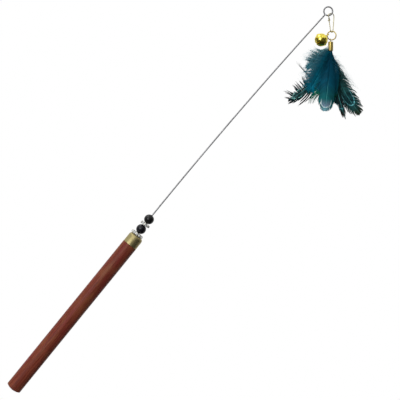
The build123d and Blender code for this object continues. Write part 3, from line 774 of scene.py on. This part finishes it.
def box_shape(low, high):
    """A box in the bell's frame, corners in binary order of x, y and z."""
    x, y, z = np.meshgrid(*zip(low, high), indexing="ij")
    quads = [(0, 1, 3, 2), (4, 6, 7, 5), (0, 4, 5, 1), (2, 3, 7, 6), (0, 2, 6, 4), (1, 5, 7, 3)]
    return bell_place(np.stack((x.ravel(), y.ravel(), z.ravel()), -1)), np.array(quads)


def half_shell():
    """Half of the bell's wall as (radius, height): a quarter circle inside, the rim with a rounded
    corner, and a larger quarter circle back up the outside."""
    rim_foot = math.degrees(math.asin(BELL_RIM_FOOT / BELL_R))
    inside = arc(ORIGIN, BELL_INNER_R, 90.0, 0.0, steps=32)
    rim_centre = (BELL_RIM_R - BELL_RIM_ROUND, BELL_RIM - BELL_RIM_ROUND)
    rim = arc(rim_centre, BELL_RIM_ROUND, 0.0, 90.0, steps=6)
    outside = arc(ORIGIN, BELL_R, rim_foot, 90.0, steps=40)
    return np.concatenate((inside, [(BELL_RIM_R, 0.0)], rim, outside))


def slot_cutters():
    """Two crossed slots, and a round hole square to the shell at each end of both."""
    floor, ceiling = BELL_R / 2, BELL_R + CUT_OVERRUN
    tilt = math.asin(BELL_SLOT_REACH / BELL_R)
    hole = [(0.0, floor), (BELL_SLOT_END_R, floor), (BELL_SLOT_END_R, ceiling), (0.0, ceiling)]
    cutters = [
        box_shape((-across, -other, -ceiling), (across, other, BELL_SLOT_TOP))
        for across, other in ((BELL_SLOT_REACH, BELL_SLOT_HALF), (BELL_SLOT_HALF, BELL_SLOT_REACH))
    ]
    for side in (-BELL_ACROSS, BELL_ACROSS, -BELL_OTHER, BELL_OTHER):
        way = side * math.sin(tilt) - BELL_UP * math.cos(tilt)
        cutters.append(turned(hole, BELL_CENTRE, way, sides=28))
    return cutters


def cut_away(piece, shapes):
    """Cut each (points, faces) out of a piece that no body carries yet."""
    tools = [plain_object("cutting_tool", *shape) for shape in shapes]
    for tool in tools:
        step = piece.modifiers.new("cut", "BOOLEAN")
        step.operation = "DIFFERENCE"
        step.solver = "EXACT"
        step.object = tool
    whole = piece.data
    finish = whole.materials[0]
    seen = piece.evaluated_get(bpy.context.evaluated_depsgraph_get())
    piece.data = bpy.data.meshes.new_from_object(seen)
    piece.modifiers.clear()
    bpy.data.meshes.remove(whole)
    for tool in tools:
        bpy.data.meshes.remove(tool.data)
    creased(piece.data)
    piece.data.materials.clear()
    piece.data.materials.append(finish)


def loop_path():
    """Staple: a leg up, half a turn over the crown and a leg down, in the bell's frame."""
    foot = math.sqrt(BELL_INNER_R ** 2 - (BELL_LOOP_R + BELL_LOOP_WIRE_R) ** 2)
    turn = np.linspace(math.pi, 0.0, 25)
    over = (BELL_LOOP_R * np.cos(turn), 0 * turn, BELL_LOOP_CROWN + BELL_LOOP_R * np.sin(turn))
    legs = [(-BELL_LOOP_R, 0.0, foot)], [(BELL_LOOP_R, 0.0, foot)]
    return bell_place(np.concatenate((legs[0], np.stack(over, -1), legs[1])))


top_shape = turned(half_shell(), BELL_CENTRE, BELL_UP, sides=96)
lay_mesh("bell_top", top_shape, "bell", "bell_upper_half", gold_bell)
bottom_shape = turned(half_shell()[::-1] * (1, -1), BELL_CENTRE, BELL_UP, sides=96)
bell_bottom = lay_mesh("bell_bottom", bottom_shape, None, "bell_lower_half", gold_bell)
cut_away(bell_bottom, slot_cutters())
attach(bell_bottom, "bell")
loop_shape = wire(refined(loop_path(), 0.5), BELL_LOOP_WIRE_R, BELL_OTHER, sides=16, chamfer=STAPLE_CHAMFER)
lay_mesh("bell_staple", loop_shape, "bell", "bell_loop", gold_bell)

# Crimp cap and its eye

eye_round = np.linspace(-math.pi, math.pi, 20, endpoint=False)
eye_profile = np.stack((EYELET_R + EYELET_WIRE_R * np.cos(eye_round), EYELET_WIRE_R * np.sin(eye_round)),
                       -1)
shank_foot = -EYELET_R - EYELET_WIRE_R - EYELET_SHANK
shank_profile = [(0.0, shank_foot), (EYELET_WIRE_R, shank_foot), (EYELET_WIRE_R, -EYELET_R),
                 (0.0, -EYELET_R)]
eye_shape = turned(eye_profile, EYELET_CENTRE, RING_ACROSS, sides=48, wrap=True)
shank_shape = turned(shank_profile, EYELET_CENTRE, UP, sides=20)
lay_mesh("eye_pin", joined(eye_shape, shank_shape), "lure", "crimp_eyelet", gold_wire)

pin_hole_r = EYELET_WIRE_R + GLUE_GAP
cap_profile = np.concatenate((
    [(CAP_INNER_R, -CAP_LENGTH), (CAP_R - CAP_EDGE, -CAP_LENGTH), (CAP_R, -CAP_LENGTH + CAP_EDGE)],
    arc((CAP_R - CAP_ROUND, -CAP_ROUND), CAP_ROUND, 0.0, 90.0, steps=10),
    [(pin_hole_r, 0.0), (pin_hole_r, -CAP_TOP), (CAP_INNER_R, -CAP_TOP)],
))
cap_shape = turned(cap_profile, CAP_TOP_POINT, UP, sides=64, wrap=True)
lay_mesh("crimp_tube", cap_shape, "lure", "crimp_cap", cap_brass)

# Spring wire


def spring_wire_path():
    """Straight in the handle, then three arcs that touch: the long bow, which at the turn t is
    radius * (1 - cos t) aside and radius * sin t along, a kink to one side and the round eye."""
    bow_r = BOW_LENGTH / BOW_ANGLE
    straight = np.linspace(WIRE_FOOT, BOW_FOOT, 24, endpoint=False)[:, None] * WAND_AXIS + WIRE_LINE
    turn = np.linspace(0, BOW_ANGLE, 91)[:, None]
    sideways, up_wand = bow_r * (1 - np.cos(turn)), BOW_FOOT + bow_r * np.sin(turn)
    bow = WIRE_LINE + WAND_SIDE * sideways + WAND_AXIS * up_wand
    end = bow[-1]
    forward = WAND_SIDE * math.sin(BOW_ANGLE) + WAND_AXIS * math.cos(BOW_ANGLE)
    left = WAND_AXIS * math.sin(BOW_ANGLE) - WAND_SIDE * math.cos(BOW_ANGLE)
    reach = math.sqrt((EYE_R + KINK_R) ** 2 - KINK_R ** 2)
    bend = np.linspace(0, math.atan2(reach, KINK_R), 10, endpoint=False)[:, None]
    kink = end + left * KINK_R + (forward * np.sin(bend) - left * np.cos(bend)) * KINK_R
    round_eye = np.linspace(math.atan2(KINK_R, -reach), EYE_END_ANGLE - math.pi, 64)[:, None]
    eye = end + forward * reach + (forward * np.cos(round_eye) + left * np.sin(round_eye)) * EYE_R
    return np.concatenate((straight, bow[:-1], kink, eye))


spring_shape = wire(spring_wire_path(), WIRE_R, LEVEL, sides=20, chamfer=WIRE_CHAMFER)
lay_mesh("sprung_wire", spring_shape, "wand", "spring_wire", drawn_steel)

# Feathers: outlines as (share of the length, share of the half width) rows, and each feather's place:
# its quill round the plug, heading, lean at root and tip and vane turn in degrees, then its shares

VANE_SHARES = ((0.06, 0.10), (0.16, 0.34), (0.34, 0.74), (0.54, 1.00), (0.74, 1.00), (0.86, 0.90),
               (0.93, 0.72), (0.97, 0.52), (1.00, 0.22))
PLUME_SHARES = ((0.06, 0.16), (0.16, 0.62), (0.32, 1.00), (0.58, 1.00), (0.80, 0.74), (0.93, 0.46),
                (1.00, 0.20))
Place = namedtuple("Place", "quill azimuth root_lean tip_lean vane_turn length_share width_share outline")
PLACES = {
    "front": Place(-104, -130, 5, 14, -5, 0.885, 0.76, VANE_SHARES),
    "front_under": Place(-48, -160, 5, 13, -5, 0.720, 1.06, VANE_SHARES),
    "right_outer": Place(10, 11, 7, 45, -4, 1.010, 0.80, VANE_SHARES),
    "right_inner": Place(None, 2, 6, 19, 4, 1.005, 0.58, VANE_SHARES),
    "left_long": Place(172, 168, 16, 66, 8, 0.945, 0.62, VANE_SHARES),
    "left_plume": Place(-150, 177, 20, 36, -2, 0.680, 1.20, PLUME_SHARES),
    "back_left": Place(128, 160, 46, 70, 4, 0.420, 1.00, PLUME_SHARES),
    "back_right": Place(52, 46, 6, 20, -3, 0.770, 0.84, VANE_SHARES),
    "back": Place(90, 92, 20, 46, 4, 0.700, 0.90, VANE_SHARES),
}
PLUG_FACE = CAP_TOP_POINT - UP * (CAP_LENGTH + PLUG_BULGE)
EYELET_SEAT = on_ring(EYELET_SEAT_ANGLE)


def shaft_length(place):
    """A feather's length along its shaft."""
    return FEATHER_LENGTH * place.length_share


def widest(place):
    """A feather's half width at its widest."""
    return VANE_HALF_WIDTH * place.width_share


def bend_flat(place, s, x, z):
    """A flat feather's points, s along the shaft, x across and z off its face, bent to its place.
    The shaft is an arc that leans from root to tip: with t the turn so far, its chord is
    s * sin(t / 2) / (t / 2) long and leans by the root's lean plus t / 2."""
    out, level = heading(place.azimuth), heading(place.azimuth + 90)
    root = PLUG_FACE if place.quill is None else PLUG_FACE + heading(place.quill) * QUILL_CIRCLE_R
    root_lean = math.radians(place.root_lean)
    turn = math.radians(place.tip_lean - place.root_lean) * s / shaft_length(place)
    chord = s * np.sinc(turn / (2 * math.pi))
    chord_lean = (root_lean + turn / 2)[..., None]
    here = (root_lean + turn)[..., None]
    face = math.radians(place.azimuth + 90 - place.vane_turn)
    inward = out * np.cos(here) + UP * np.sin(here)
    wide = level * math.cos(face) + inward * math.sin(face)
    deep = inward * math.cos(face) - level * math.sin(face)
    centre = root + (out * np.sin(chord_lean) - UP * np.cos(chord_lean)) * chord[..., None]
    return centre + wide * x[..., None] + deep * z[..., None]


def half_width(place, u):
    """Half width of a feather's outline at the share u of its length."""
    at, share = np.array(place.outline).T
    return widest(place) * np.interp(u, at, share)


def strand_corners(s, x, z, width, thick):
    """Four corners at each step of flat strands: half a width to each side in the face and half a
    thickness off it. All are (strand, step) arrays."""
    ds, dx = np.gradient(s, axis=1), np.gradient(x, axis=1)
    norm = np.maximum(np.hypot(ds, dx), 1e-9)
    aside = width[..., None] * np.array((0.5, 0.0, -0.5, 0.0))
    off = thick[..., None] * np.array((0.0, 0.5, 0.0, -0.5))
    s4 = s[..., None] - (dx / norm)[..., None] * aside
    x4 = x[..., None] + (ds / norm)[..., None] * aside
    return s4, x4, z[..., None] + off


def strand_faces(count, steps, first):
    """Corner numbers for strands of four-cornered rings, with a quad to close each end."""
    i, j, k = np.meshgrid(np.arange(count), np.arange(steps - 1), np.arange(4), indexing="ij")
    base = first + (i * steps + j) * 4
    after = (k + 1) % 4
    sides = np.stack((base + k, base + after, base + 4 + after, base + 4 + k), -1).reshape(-1, 4)
    ring = first + np.arange(count)[:, None] * steps * 4 + np.arange(4)
    ends = np.concatenate((ring[:, ::-1], ring + (steps - 1) * 4))
    return np.concatenate((sides, ends))


def clump(values, sizes):
    """Mean of each run of neighbours, repeated over the run, and the run's number for each value."""
    number = np.searchsorted(np.cumsum(sizes), np.arange(len(values)), side="right")
    number = np.minimum(number, len(sizes) - 1)
    total = np.bincount(number, values, len(sizes))
    count = np.maximum(np.bincount(number, minlength=len(sizes)), 1)
    return (total / count)[number], number


# Barbs: a barb's own share of what its clump does, and how far a clump pulls its ends together
ROOT_JITTER = 0.04
OWN_RAGGED = 0.4
OWN_LIFT = 0.25
THINNED = 0.45
PULL_ALONG = 0.9
PULL_ACROSS = 0.5
BARB_THICKNESS = 0.09
SIDE_LIFT = 0.05
WIDTH_SPREAD = 0.12
CLUMP_TONE = 0.22
BARB_TONE = 0.20
WAVES = 7.0
OUTLINE_STEPS = 500


def vane_side(place, side, look, rng):
    """Barbs on one side of the shaft. A barb leaves the shaft at s0 and ends where the vane is as wide
    as its outline there. With q from 0 to 1 along it, s is s0 + run * q^1.25, x is
    reach * sin(q * pi / 2)^0.95 and z sags by cup * (x / half width)^2 and lifts by q^1.5. Neighbours
    gather in clumps towards their ends by a share that grows as q^1.6."""
    look = dict(look, **look["sides"].get(side, {}))
    length = shaft_length(place)
    count = int(length * (look["end"] - look["start"]) / look["spacing"])
    s0 = np.linspace(look["start"], look["end"], count) * length + rng.normal(0, ROOT_JITTER, count)
    steep = np.tan(np.radians(np.interp(s0 / length, (0.0, 0.6, 1.0), look["slant"])))
    places = np.linspace(0.0, 1.0, OUTLINE_STEPS) * length
    met = (places - s0[:, None]) * steep[:, None] >= half_width(place, places / length)
    run = (np.where(met.any(1), places[met.argmax(1)], length) - s0) * look["stretch"]
    reach = run * steep
    sizes = rng.integers(*look["clump"], count)
    mean_end, number = clump(s0 + run, sizes)
    mean_reach, _ = clump(reach, sizes)
    clumps = number.max() + 1

    def varied(clump_spread, own_spread):
        return rng.normal(0, clump_spread, clumps)[number] + rng.normal(0, own_spread, count)

    grow = 1 + varied(look["ragged"], look["ragged"] * OWN_RAGGED)
    grow *= np.where(rng.random(clumps) < look["thin"], THINNED, 1.0)[number]
    lift = varied(look["lift"], look["lift"] * OWN_LIFT)
    mean_end = mean_end + rng.normal(0, look["stray"], clumps)[number]
    q = np.linspace(0, 1, look["steps"])[None]
    gather = look["gather"] * q ** 1.6
    s = s0[:, None] + (run * grow)[:, None] * q ** 1.25
    s += gather * (mean_end - s0 - run)[:, None] * PULL_ALONG
    s -= look["sweep"] * np.interp(s0 / length, (0.3, 1.0), (1.0, 0.0))[:, None] * q ** 2
    x = side * (reach * grow)[:, None] * np.sin(q * math.pi / 2) ** 0.95
    x += side * gather * (mean_reach - reach)[:, None] * PULL_ACROSS
    z = -look["cup"] * (x / widest(place)) ** 2
    z = z + lift[:, None] * q ** 1.5 + SIDE_LIFT * side * q
    z += look["wave"] * np.sin(s / length * WAVES + side) * q
    wide = look["width"] * (1 - look["taper"] * q ** 2.2) * (1 + rng.normal(0, WIDTH_SPREAD, count))[:, None]
    thick = np.broadcast_to(BARB_THICKNESS * (1 - 0.6 * q), s.shape)
    tone = 0.5 + varied(CLUMP_TONE, BARB_TONE)
    return s, x, z, wide, thick, tone, q


def clear_share(points):
    """Share of each strand that stays clear of the bell while the lure swings between its limits."""
    arm = points - EYELET_SEAT
    along = (arm @ RING_ACROSS)[..., None] * RING_ACROSS
    near = np.zeros(points.shape[:2], bool)
    for angle in np.linspace(-LURE_SWING, LURE_SWING, 5):
        swung = along + (arm - along) * math.cos(angle) + np.cross(RING_ACROSS, arm) * math.sin(angle)
        near |= np.linalg.norm(swung + EYELET_SEAT - BELL_CENTRE, axis=-1) < BELL_RIM_R + BELL_ROOM
    last = points.shape[1] - 1
    return np.where(near.any(1), np.maximum(near.argmax(1) - 1, 1), last) / last


def shortened(values, share):
    """The first share of each strand, with its steps spread evenly over it again."""
    last = values.shape[1] - 1
    at = np.linspace(0, last, last + 1)[None] * share[:, None]
    first = np.minimum(at.astype(int), last - 1)
    part = at - first
    here, after = (np.take_along_axis(values, index, 1) for index in (first, first + 1))
    return here * (1 - part) + after * part


# Down: steps of a strand, how much farther out its reach is read, and its spreads
DOWN_STEPS = 9
DOWN_READ = 0.12
DOWN_SHORTEST = 0.55
DOWN_EXTRA = (0.5, 2.0)
DOWN_RIPPLE = (0.15, 0.75)
DOWN_TONE = 0.25


def down_strands(place, look, rng):
    """Loose down at the foot of a feather: soft wavy strands that leave the shaft on both sides and
    off its face. With q from 0 to 1 along a strand, s is s0 + run * q^1.3, x is reach * sin(q * pi / 2)
    and z is lift * q^1.2, each with a sine ripple that grows with q."""
    length = shaft_length(place)
    count = look["down"]
    s0 = rng.uniform(look["down_from"], look["down_to"], count) * length
    side = np.where(rng.random(count) < look["down_left"], -1.0, 1.0)
    reach = half_width(place, np.clip(s0 / length + DOWN_READ, 0, 1))
    reach = reach * rng.uniform(DOWN_SHORTEST, look["down_reach"], count) + rng.uniform(*DOWN_EXTRA, count)
    slant = np.radians(rng.uniform(*look["down_slant"], count))
    q = np.linspace(0, 1, DOWN_STEPS)[None]
    phase = rng.uniform(0, 2 * math.pi, (2, count, 1))
    ripple = rng.uniform(*DOWN_RIPPLE, (2, count, 1))
    lift = rng.normal(0, look["down_lift"], count)[:, None]
    s = s0[:, None] + (reach / np.tan(slant))[:, None] * q ** 1.3
    s = s + ripple[0] * np.sin(phase[0] + q * 7.0) * q
    x = (side * reach)[:, None] * np.sin(q * math.pi / 2) + ripple[1] * np.cos(phase[1] + q * 6.0) * q
    z = lift * q ** 1.2 + 0.4 * ripple[0] * np.sin(phase[1] + q * 5.0) * q
    share = clear_share(bend_flat(place, s, x, z))
    s, x, z = (shortened(values, share) for values in (s, x, z))
    wide = np.broadcast_to(look["down_width"] * (1 - 0.7 * q), s.shape)
    return s, x, z, wide, wide * 0.8, 0.5 + rng.normal(0, DOWN_TONE, count), q


# Shaft: where it starts inside the plug and its widths at root, foot and tip
SHAFT_FOOT = -2.0
SHAFT_END_SHARE = 0.985
SHAFT_WIDTHS = ((-0.04, 0.1, 1.0), (0.62, 0.62, 0.12))
SHAFT_OFF = 0.03
SHAFT_TONE = 0.6


def shaft_strand(place, steps=40):
    """The shaft: one straight strand along s from inside the plug to the tip, its width read from rows
    of (share of the length, width)."""
    length = shaft_length(place)
    s = np.linspace(SHAFT_FOOT, length * SHAFT_END_SHARE, steps)[None]
    width = np.interp(s / length, *SHAFT_WIDTHS)
    still = np.zeros_like(s)
    return s, still, still + SHAFT_OFF, width, width * 0.9, np.full(1, SHAFT_TONE), still


MAP_MARGIN = 1.25  # room on a feather's flat map beyond its half width


def lay_feather(name, seed, look, finish):
    """A feather of shaft, barbs and down as one mesh, with its flat map and strand values."""
    rng = np.random.default_rng(seed)
    place = PLACES[name]
    # Each group of strands, with its values of downy and shaft
    groups = [(shaft_strand(place), 0.0, 1.0)]
    groups += [(vane_side(place, side, look, rng), 0.0, 0.0) for side in (-1.0, 1.0)]
    groups.append((down_strands(place, look, rng), 1.0, 0.0))
    if look["tuft"]:
        groups.append((down_strands(place, dict(look, **look["tuft"]), rng), 1.0, 0.0))
    points, faces, maps, values, first = [], [], [], [], 0
    length = shaft_length(place)
    map_half = widest(place) * MAP_MARGIN
    for (s, x, z, wide, thick, tone, q), downy, shaft in groups:
        s4, x4, z4 = strand_corners(s, x, z, wide, thick)
        points.append(bend_flat(place, s4, x4, z4).reshape(-1, 3))
        faces.append(strand_faces(*s.shape, first))
        first += s4.size
        maps.append(np.stack((s4 / length, 0.5 + 0.5 * x4 / map_half), -1).reshape(-1, 2))
        columns = (tone[:, None, None], downy, shaft, np.broadcast_to(q, s.shape)[..., None])
        values.append(np.stack([column * np.ones(s4.shape) for column in columns], -1).reshape(-1, 4))
    shape = np.concatenate(points), np.concatenate(faces)
    mesh = lay_mesh("plume_" + name, shape, "lure", "feather_" + name, finish, merge=False).data
    for key, column in zip(STRAND_KEYS, np.concatenate(values).astype(np.float32).T):
        mesh.attributes.new(key, "FLOAT", "POINT").data.foreach_set("value", np.ascontiguousarray(column))
    corner = np.empty(len(mesh.loops), np.int32)
    mesh.loops.foreach_get("vertex_index", corner)
    flat = mesh.uv_layers.new(name="OFBake")
    flat.uv.foreach_set("vector", np.concatenate(maps)[corner].astype(np.float32).ravel())


# How a vane and its down grow. Slants are degrees from the shaft at root, middle and tip; start, end
# and the places of down are shares of the length; clump is the least and most barbs together.
NEAT = dict(
    start=0.10, end=0.985, spacing=0.25, slant=(52, 42, 22), stretch=1.0, steps=9, width=0.46, taper=0.75,
    clump=(8, 26), gather=0.14, ragged=0.03, thin=0.0, stray=0.0, lift=0.10, cup=1.2, wave=0.15, sweep=0.0,
    sides={}, tuft={},
    down=140, down_from=0.03, down_to=0.28, down_left=1.0, down_reach=1.2, down_lift=1.0, down_width=0.07,
    down_slant=(28, 66),
)
LOOSE = dict(NEAT, ragged=0.08, lift=0.35, gather=0.6, clump=(4, 12))
RIGHT = dict(NEAT, ragged=0.09, lift=0.3, gather=0.6, clump=(3, 10), down=60)
WISPY = dict(NEAT, ragged=0.20, lift=0.5, gather=0.9, clump=(5, 11), taper=0.85, slant=(34, 26, 16),
             spacing=0.34, stretch=0.66)
SPIKES = dict(stretch=1.75, slant=(88, 86, 34), gather=0.95, clump=(3, 6), spacing=0.30, ragged=0.28,
              width=0.38, taper=0.85, lift=0.9, stray=1.0, thin=0.70, sweep=6.0)
BLADES = dict(stretch=1.2, slant=(30, 22, 15), gather=0.85, clump=(10, 22), ragged=0.16, lift=0.5,
              stray=0.5, taper=0.8, spacing=0.21, width=0.52)
SPIKY = dict(NEAT, start=0.30, sides={-1.0: SPIKES, 1.0: BLADES}, down=40)
FRAYED = dict(stretch=1.45, ragged=0.10, lift=0.4, gather=0.4, clump=(4, 10))
NECK = dict(down=260, down_from=0.0, down_to=0.10, down_left=0.5, down_slant=(10, 34), down_reach=0.9)
HALO = dict(down=220, down_from=0.12, down_to=0.52, down_left=0.0, down_slant=(34, 74), down_reach=1.4)
TUFT = dict(down=340, down_from=0.0, down_to=0.12, down_left=1.0, down_slant=(64, 128), down_reach=1.0)
FLUFFY = dict(NEAT, start=0.04, ragged=0.15, lift=0.5, gather=0.4, clump=(3, 9), taper=0.85, width=0.40,
              slant=(80, 60, 34), down=900, down_to=0.75, down_left=0.6, down_reach=1.3, down_slant=(44, 96),
              tuft=TUFT)

TEAL = tint(3, 76, 98)
DEEP = tint(2, 60, 84)
INK = tint(12, 24, 29)
lay_feather("front", 41, dict(NEAT, tuft=NECK, ragged=0.05, gather=0.22), feather_finish(
    "teal_laced", DEEP, TEAL, late=tint(20, 94, 98), edge=tint(24, 104, 112), edge_from=0.75,
    fringe=tint(110, 158, 170), fringe_from=0.885, down=tint(10, 84, 104), lace=tint(220, 246, 248),
    heart=tint(128, 148, 172), lace_shape=(0.85, 0.085, 0.50, 0.085, 0.78, 0.03)))
lay_feather("front_under", 42, dict(NEAT, sides={-1.0: FRAYED}), feather_finish(
    "teal_under", DEEP, TEAL, edge=tint(14, 106, 90), edge_from=0.6, fringe=tint(14, 106, 84),
    fringe_from=0.78, down=tint(20, 96, 112)))
lay_feather("right_outer", 43, dict(RIGHT, tuft=HALO), feather_finish(
    "bronze_laced", tint(12, 84, 98), tint(34, 76, 76), edge=tint(76, 84, 72), edge_from=0.55,
    fringe=tint(44, 62, 48), fringe_from=0.86, down=tint(150, 188, 188), lace=tint(120, 206, 216),
    heart=tint(22, 60, 66), lace_shape=(0.70, 0.13, 0.44, 0.06, 0.56, 0.05), contrast=1.1))
lay_feather("right_inner", 44, WISPY, feather_finish(
    "brown_wisp", tint(5, 56, 70), tint(22, 54, 54), edge=tint(60, 58, 52), fringe=tint(46, 38, 32),
    fringe_from=0.84, down=tint(60, 110, 118), lace=tint(110, 196, 208), heart=tint(34, 56, 60),
    lace_shape=(0.74, 0.1, 0.5, 0.06, 0.6, 0.05), contrast=1.0))
lay_feather("left_long", 67, SPIKY, feather_finish(
    "black_laced", tint(8, 74, 88), tint(14, 50, 54), edge=INK, edge_from=0.6, fringe=INK, fringe_from=0.90,
    down=tint(90, 150, 160), lace=tint(160, 232, 226), heart=tint(58, 92, 94),
    lace_shape=(0.78, 0.14, 0.42, 0.10, 0.5, 0.10), contrast=0.9))
lay_feather("left_plume", 46, FLUFFY, feather_finish(
    "teal_down", tint(4, 82, 106), tint(6, 104, 128), edge=tint(36, 108, 122), edge_from=0.8,
    fringe=tint(12, 84, 92), fringe_from=0.9, down=tint(124, 182, 194), shaft_share=0.2))
lay_feather("back_left", 47, FLUFFY, feather_finish(
    "teal_fluff", tint(6, 86, 106), tint(20, 110, 128), edge=tint(70, 140, 152), edge_from=0.8,
    fringe=tint(60, 136, 148), fringe_from=0.9, down=tint(165, 205, 212), shaft_share=0.2))
lay_feather("back_right", 48, RIGHT, feather_finish(
    "teal_back_right", DEEP, tint(12, 76, 88), edge=tint(44, 92, 98), fringe=tint(48, 84, 84),
    fringe_from=0.92, down=tint(60, 110, 118), lace=tint(70, 140, 160), heart=tint(36, 70, 82),
    lace_shape=(0.82, 0.11, 0.46, 0.09, 0.74, 0.02), contrast=0.9))
lay_feather("back", 49, dict(LOOSE, tuft=NECK), feather_finish(
    "teal_back", DEEP, tint(6, 66, 84), edge=tint(20, 76, 86), fringe=tint(30, 72, 82), fringe_from=0.93,
    down=tint(10, 72, 90), lace=tint(110, 170, 184), heart=tint(50, 84, 98),
    lace_shape=(0.84, 0.1, 0.46, 0.09, 0.76, 0.02)))

# Finishes of the pieces whose solids show

for node_name, node_finish in (("bell_pellet", pellet), ("quill_plug", dark_glue())):
    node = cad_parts[node_name]
    node.data.materials.clear()
    node.data.materials.append(node_finish)

# Camera: the picture's size in pixels, millimetres to a pixel, and where it shows the origin

PICTURE_SIDE = 400
PICTURE_SCALE = 0.805
ORIGIN_ACROSS = 71.06
ORIGIN_DOWN = 317.08
LENS = 100.0
SENSOR = 36.0
camera_data = bpy.data.cameras.new("camera")
camera_data.lens = LENS
camera_data.sensor_width = SENSOR
camera_data.clip_start = 0.05
camera_data.clip_end = 50.0
camera = new_object("camera", camera_data)
pixel = PICTURE_SCALE * MM
camera.location = ((PICTURE_SIDE / 2 - ORIGIN_ACROSS) * pixel, -PICTURE_SIDE * pixel * LENS / SENSOR,
                   (ORIGIN_DOWN - PICTURE_SIDE / 2) * pixel)
camera.rotation_euler = (math.pi / 2, 0.0, 0.0)
bpy.context.scene.camera = camera

# Floor and room, in metres; strengths of 1 are white
FLOOR_Z = -0.45
FLOOR_HALF = 0.4
FLOOR_TONE = 0.85
FLOOR_GLOW = 1.04
FLOOR_MIRRORED = 0.03
FLOOR_SHOWN = 0.92  # share of the glow that the camera sees, the rest keeps the shadow
ROOM = 0.12
BELOW = 0.02
OVERHEAD = 1.0
AMBIENT = 0.21
AMBIENT_SLOPE = 0.16
# Between which depths and heights, as parts of a direction, the room fades in
BEHIND_FADE = (0.05, 0.45)
BELOW_FADE = (-0.70, -0.25)
OVERHEAD_FADE = (0.30, 0.62)


def pale_floor():
    """White floor that the camera sees as the pale background, with the shadow kept, and that the metals
    mirror dimly."""
    finish, tree, skin = new_finish("pale_floor")
    tree.nodes.remove(skin)
    ray = add(tree, "LightPath").outputs
    mirrored = ray["Is Glossy Ray"]
    seen = calc(tree, "MAXIMUM", ray["Is Camera Ray"], mirrored)
    seen = calc(tree, "MAXIMUM", seen, ray["Is Transmission Ray"])
    shown = calc(tree, "MULTIPLY_ADD", mirrored, 1.0 - FLOOR_SHOWN, FLOOR_SHOWN)
    strength = calc(tree, "MULTIPLY_ADD", mirrored, FLOOR_MIRRORED - FLOOR_GLOW, FLOOR_GLOW)
    plain = add(tree, "BsdfDiffuse", Color=(FLOOR_TONE, FLOOR_TONE, FLOOR_TONE, 1.0))
    glow = add(tree, "Emission", Strength=strength)
    mix = add(tree, "MixShader", Fac=calc(tree, "MULTIPLY", seen, shown))
    for number, layer in ((1, plain), (2, glow)):
        put(tree, mix.inputs[number], layer.outputs[0])
    put_all(tree, tree.nodes["Material Output"], Surface=mix.outputs[0])
    return finish


def studio_world():
    """White behind the object, a dim room on the camera's side for reflections with a pale ceiling, and
    an even light on matt surfaces that is stronger from the upper left."""
    world = bpy.data.worlds.new("studio")
    bpy.context.scene.world = world
    world.use_nodes = True
    tree = world.node_tree
    split = add(tree, "SeparateXYZ", Vector=add(tree, "TexCoord").outputs["Generated"])
    across, depth, height = split.outputs
    behind = smooth_step(tree, depth, *BEHIND_FADE)
    side = calc(tree, "MULTIPLY_ADD", smooth_step(tree, height, *BELOW_FADE), ROOM - BELOW, BELOW)
    overhead = calc(tree, "MULTIPLY", smooth_step(tree, height, *OVERHEAD_FADE), OVERHEAD)
    room = calc(tree, "MAXIMUM", calc(tree, "MAXIMUM", side, behind), overhead)
    slope = calc(tree, "SUBTRACT", height, across)
    matt = calc(tree, "MULTIPLY_ADD", slope, AMBIENT_SLOPE, AMBIENT)
    ray = add(tree, "LightPath").outputs
    backdrop = calc(tree, "MAXIMUM", ray["Is Camera Ray"], ray["Is Transmission Ray"])
    level = calc(tree, "MULTIPLY_ADD", ray["Is Glossy Ray"], calc(tree, "SUBTRACT", room, matt), matt)
    put_all(tree, tree.nodes["Background"], Color=(1.0, 1.0, 1.0, 1.0),
            Strength=calc(tree, "MAXIMUM", level, backdrop))


def soft_lamp(name, place, size, power, aim=(0.1, 0.0, 0.1)):
    """Round soft lamp that points at the object's middle."""
    data = bpy.data.lights.new(name, "AREA")
    data.shape = "DISK"
    data.size = size
    data.energy = power
    lamp = new_object(name, data)
    lamp.location = place
    x, y, z = np.array(aim) - np.array(place)
    lamp.rotation_euler = (math.acos(-z / math.hypot(x, y, z)), 0.0, math.atan2(y, x) - math.pi / 2)


floor_mesh = bpy.data.meshes.new("floor")
corner_signs = ((-1, -1), (1, -1), (1, 1), (-1, 1))
floor_corners = [(x * FLOOR_HALF, y * FLOOR_HALF, FLOOR_Z) for x, y in corner_signs]
floor_mesh.from_pydata(floor_corners, [], [(0, 1, 2, 3)])
floor_mesh.materials.append(pale_floor())
floor = new_object("floor", floor_mesh)
studio_world()
soft_lamp("key", place=(-0.44, -1.21, 0.54), size=0.9, power=10.8)
soft_lamp("top", place=(-0.35, -0.1, 1.3), size=0.5, power=4.0)
bpy.context.scene.view_settings.view_transform = "Standard"
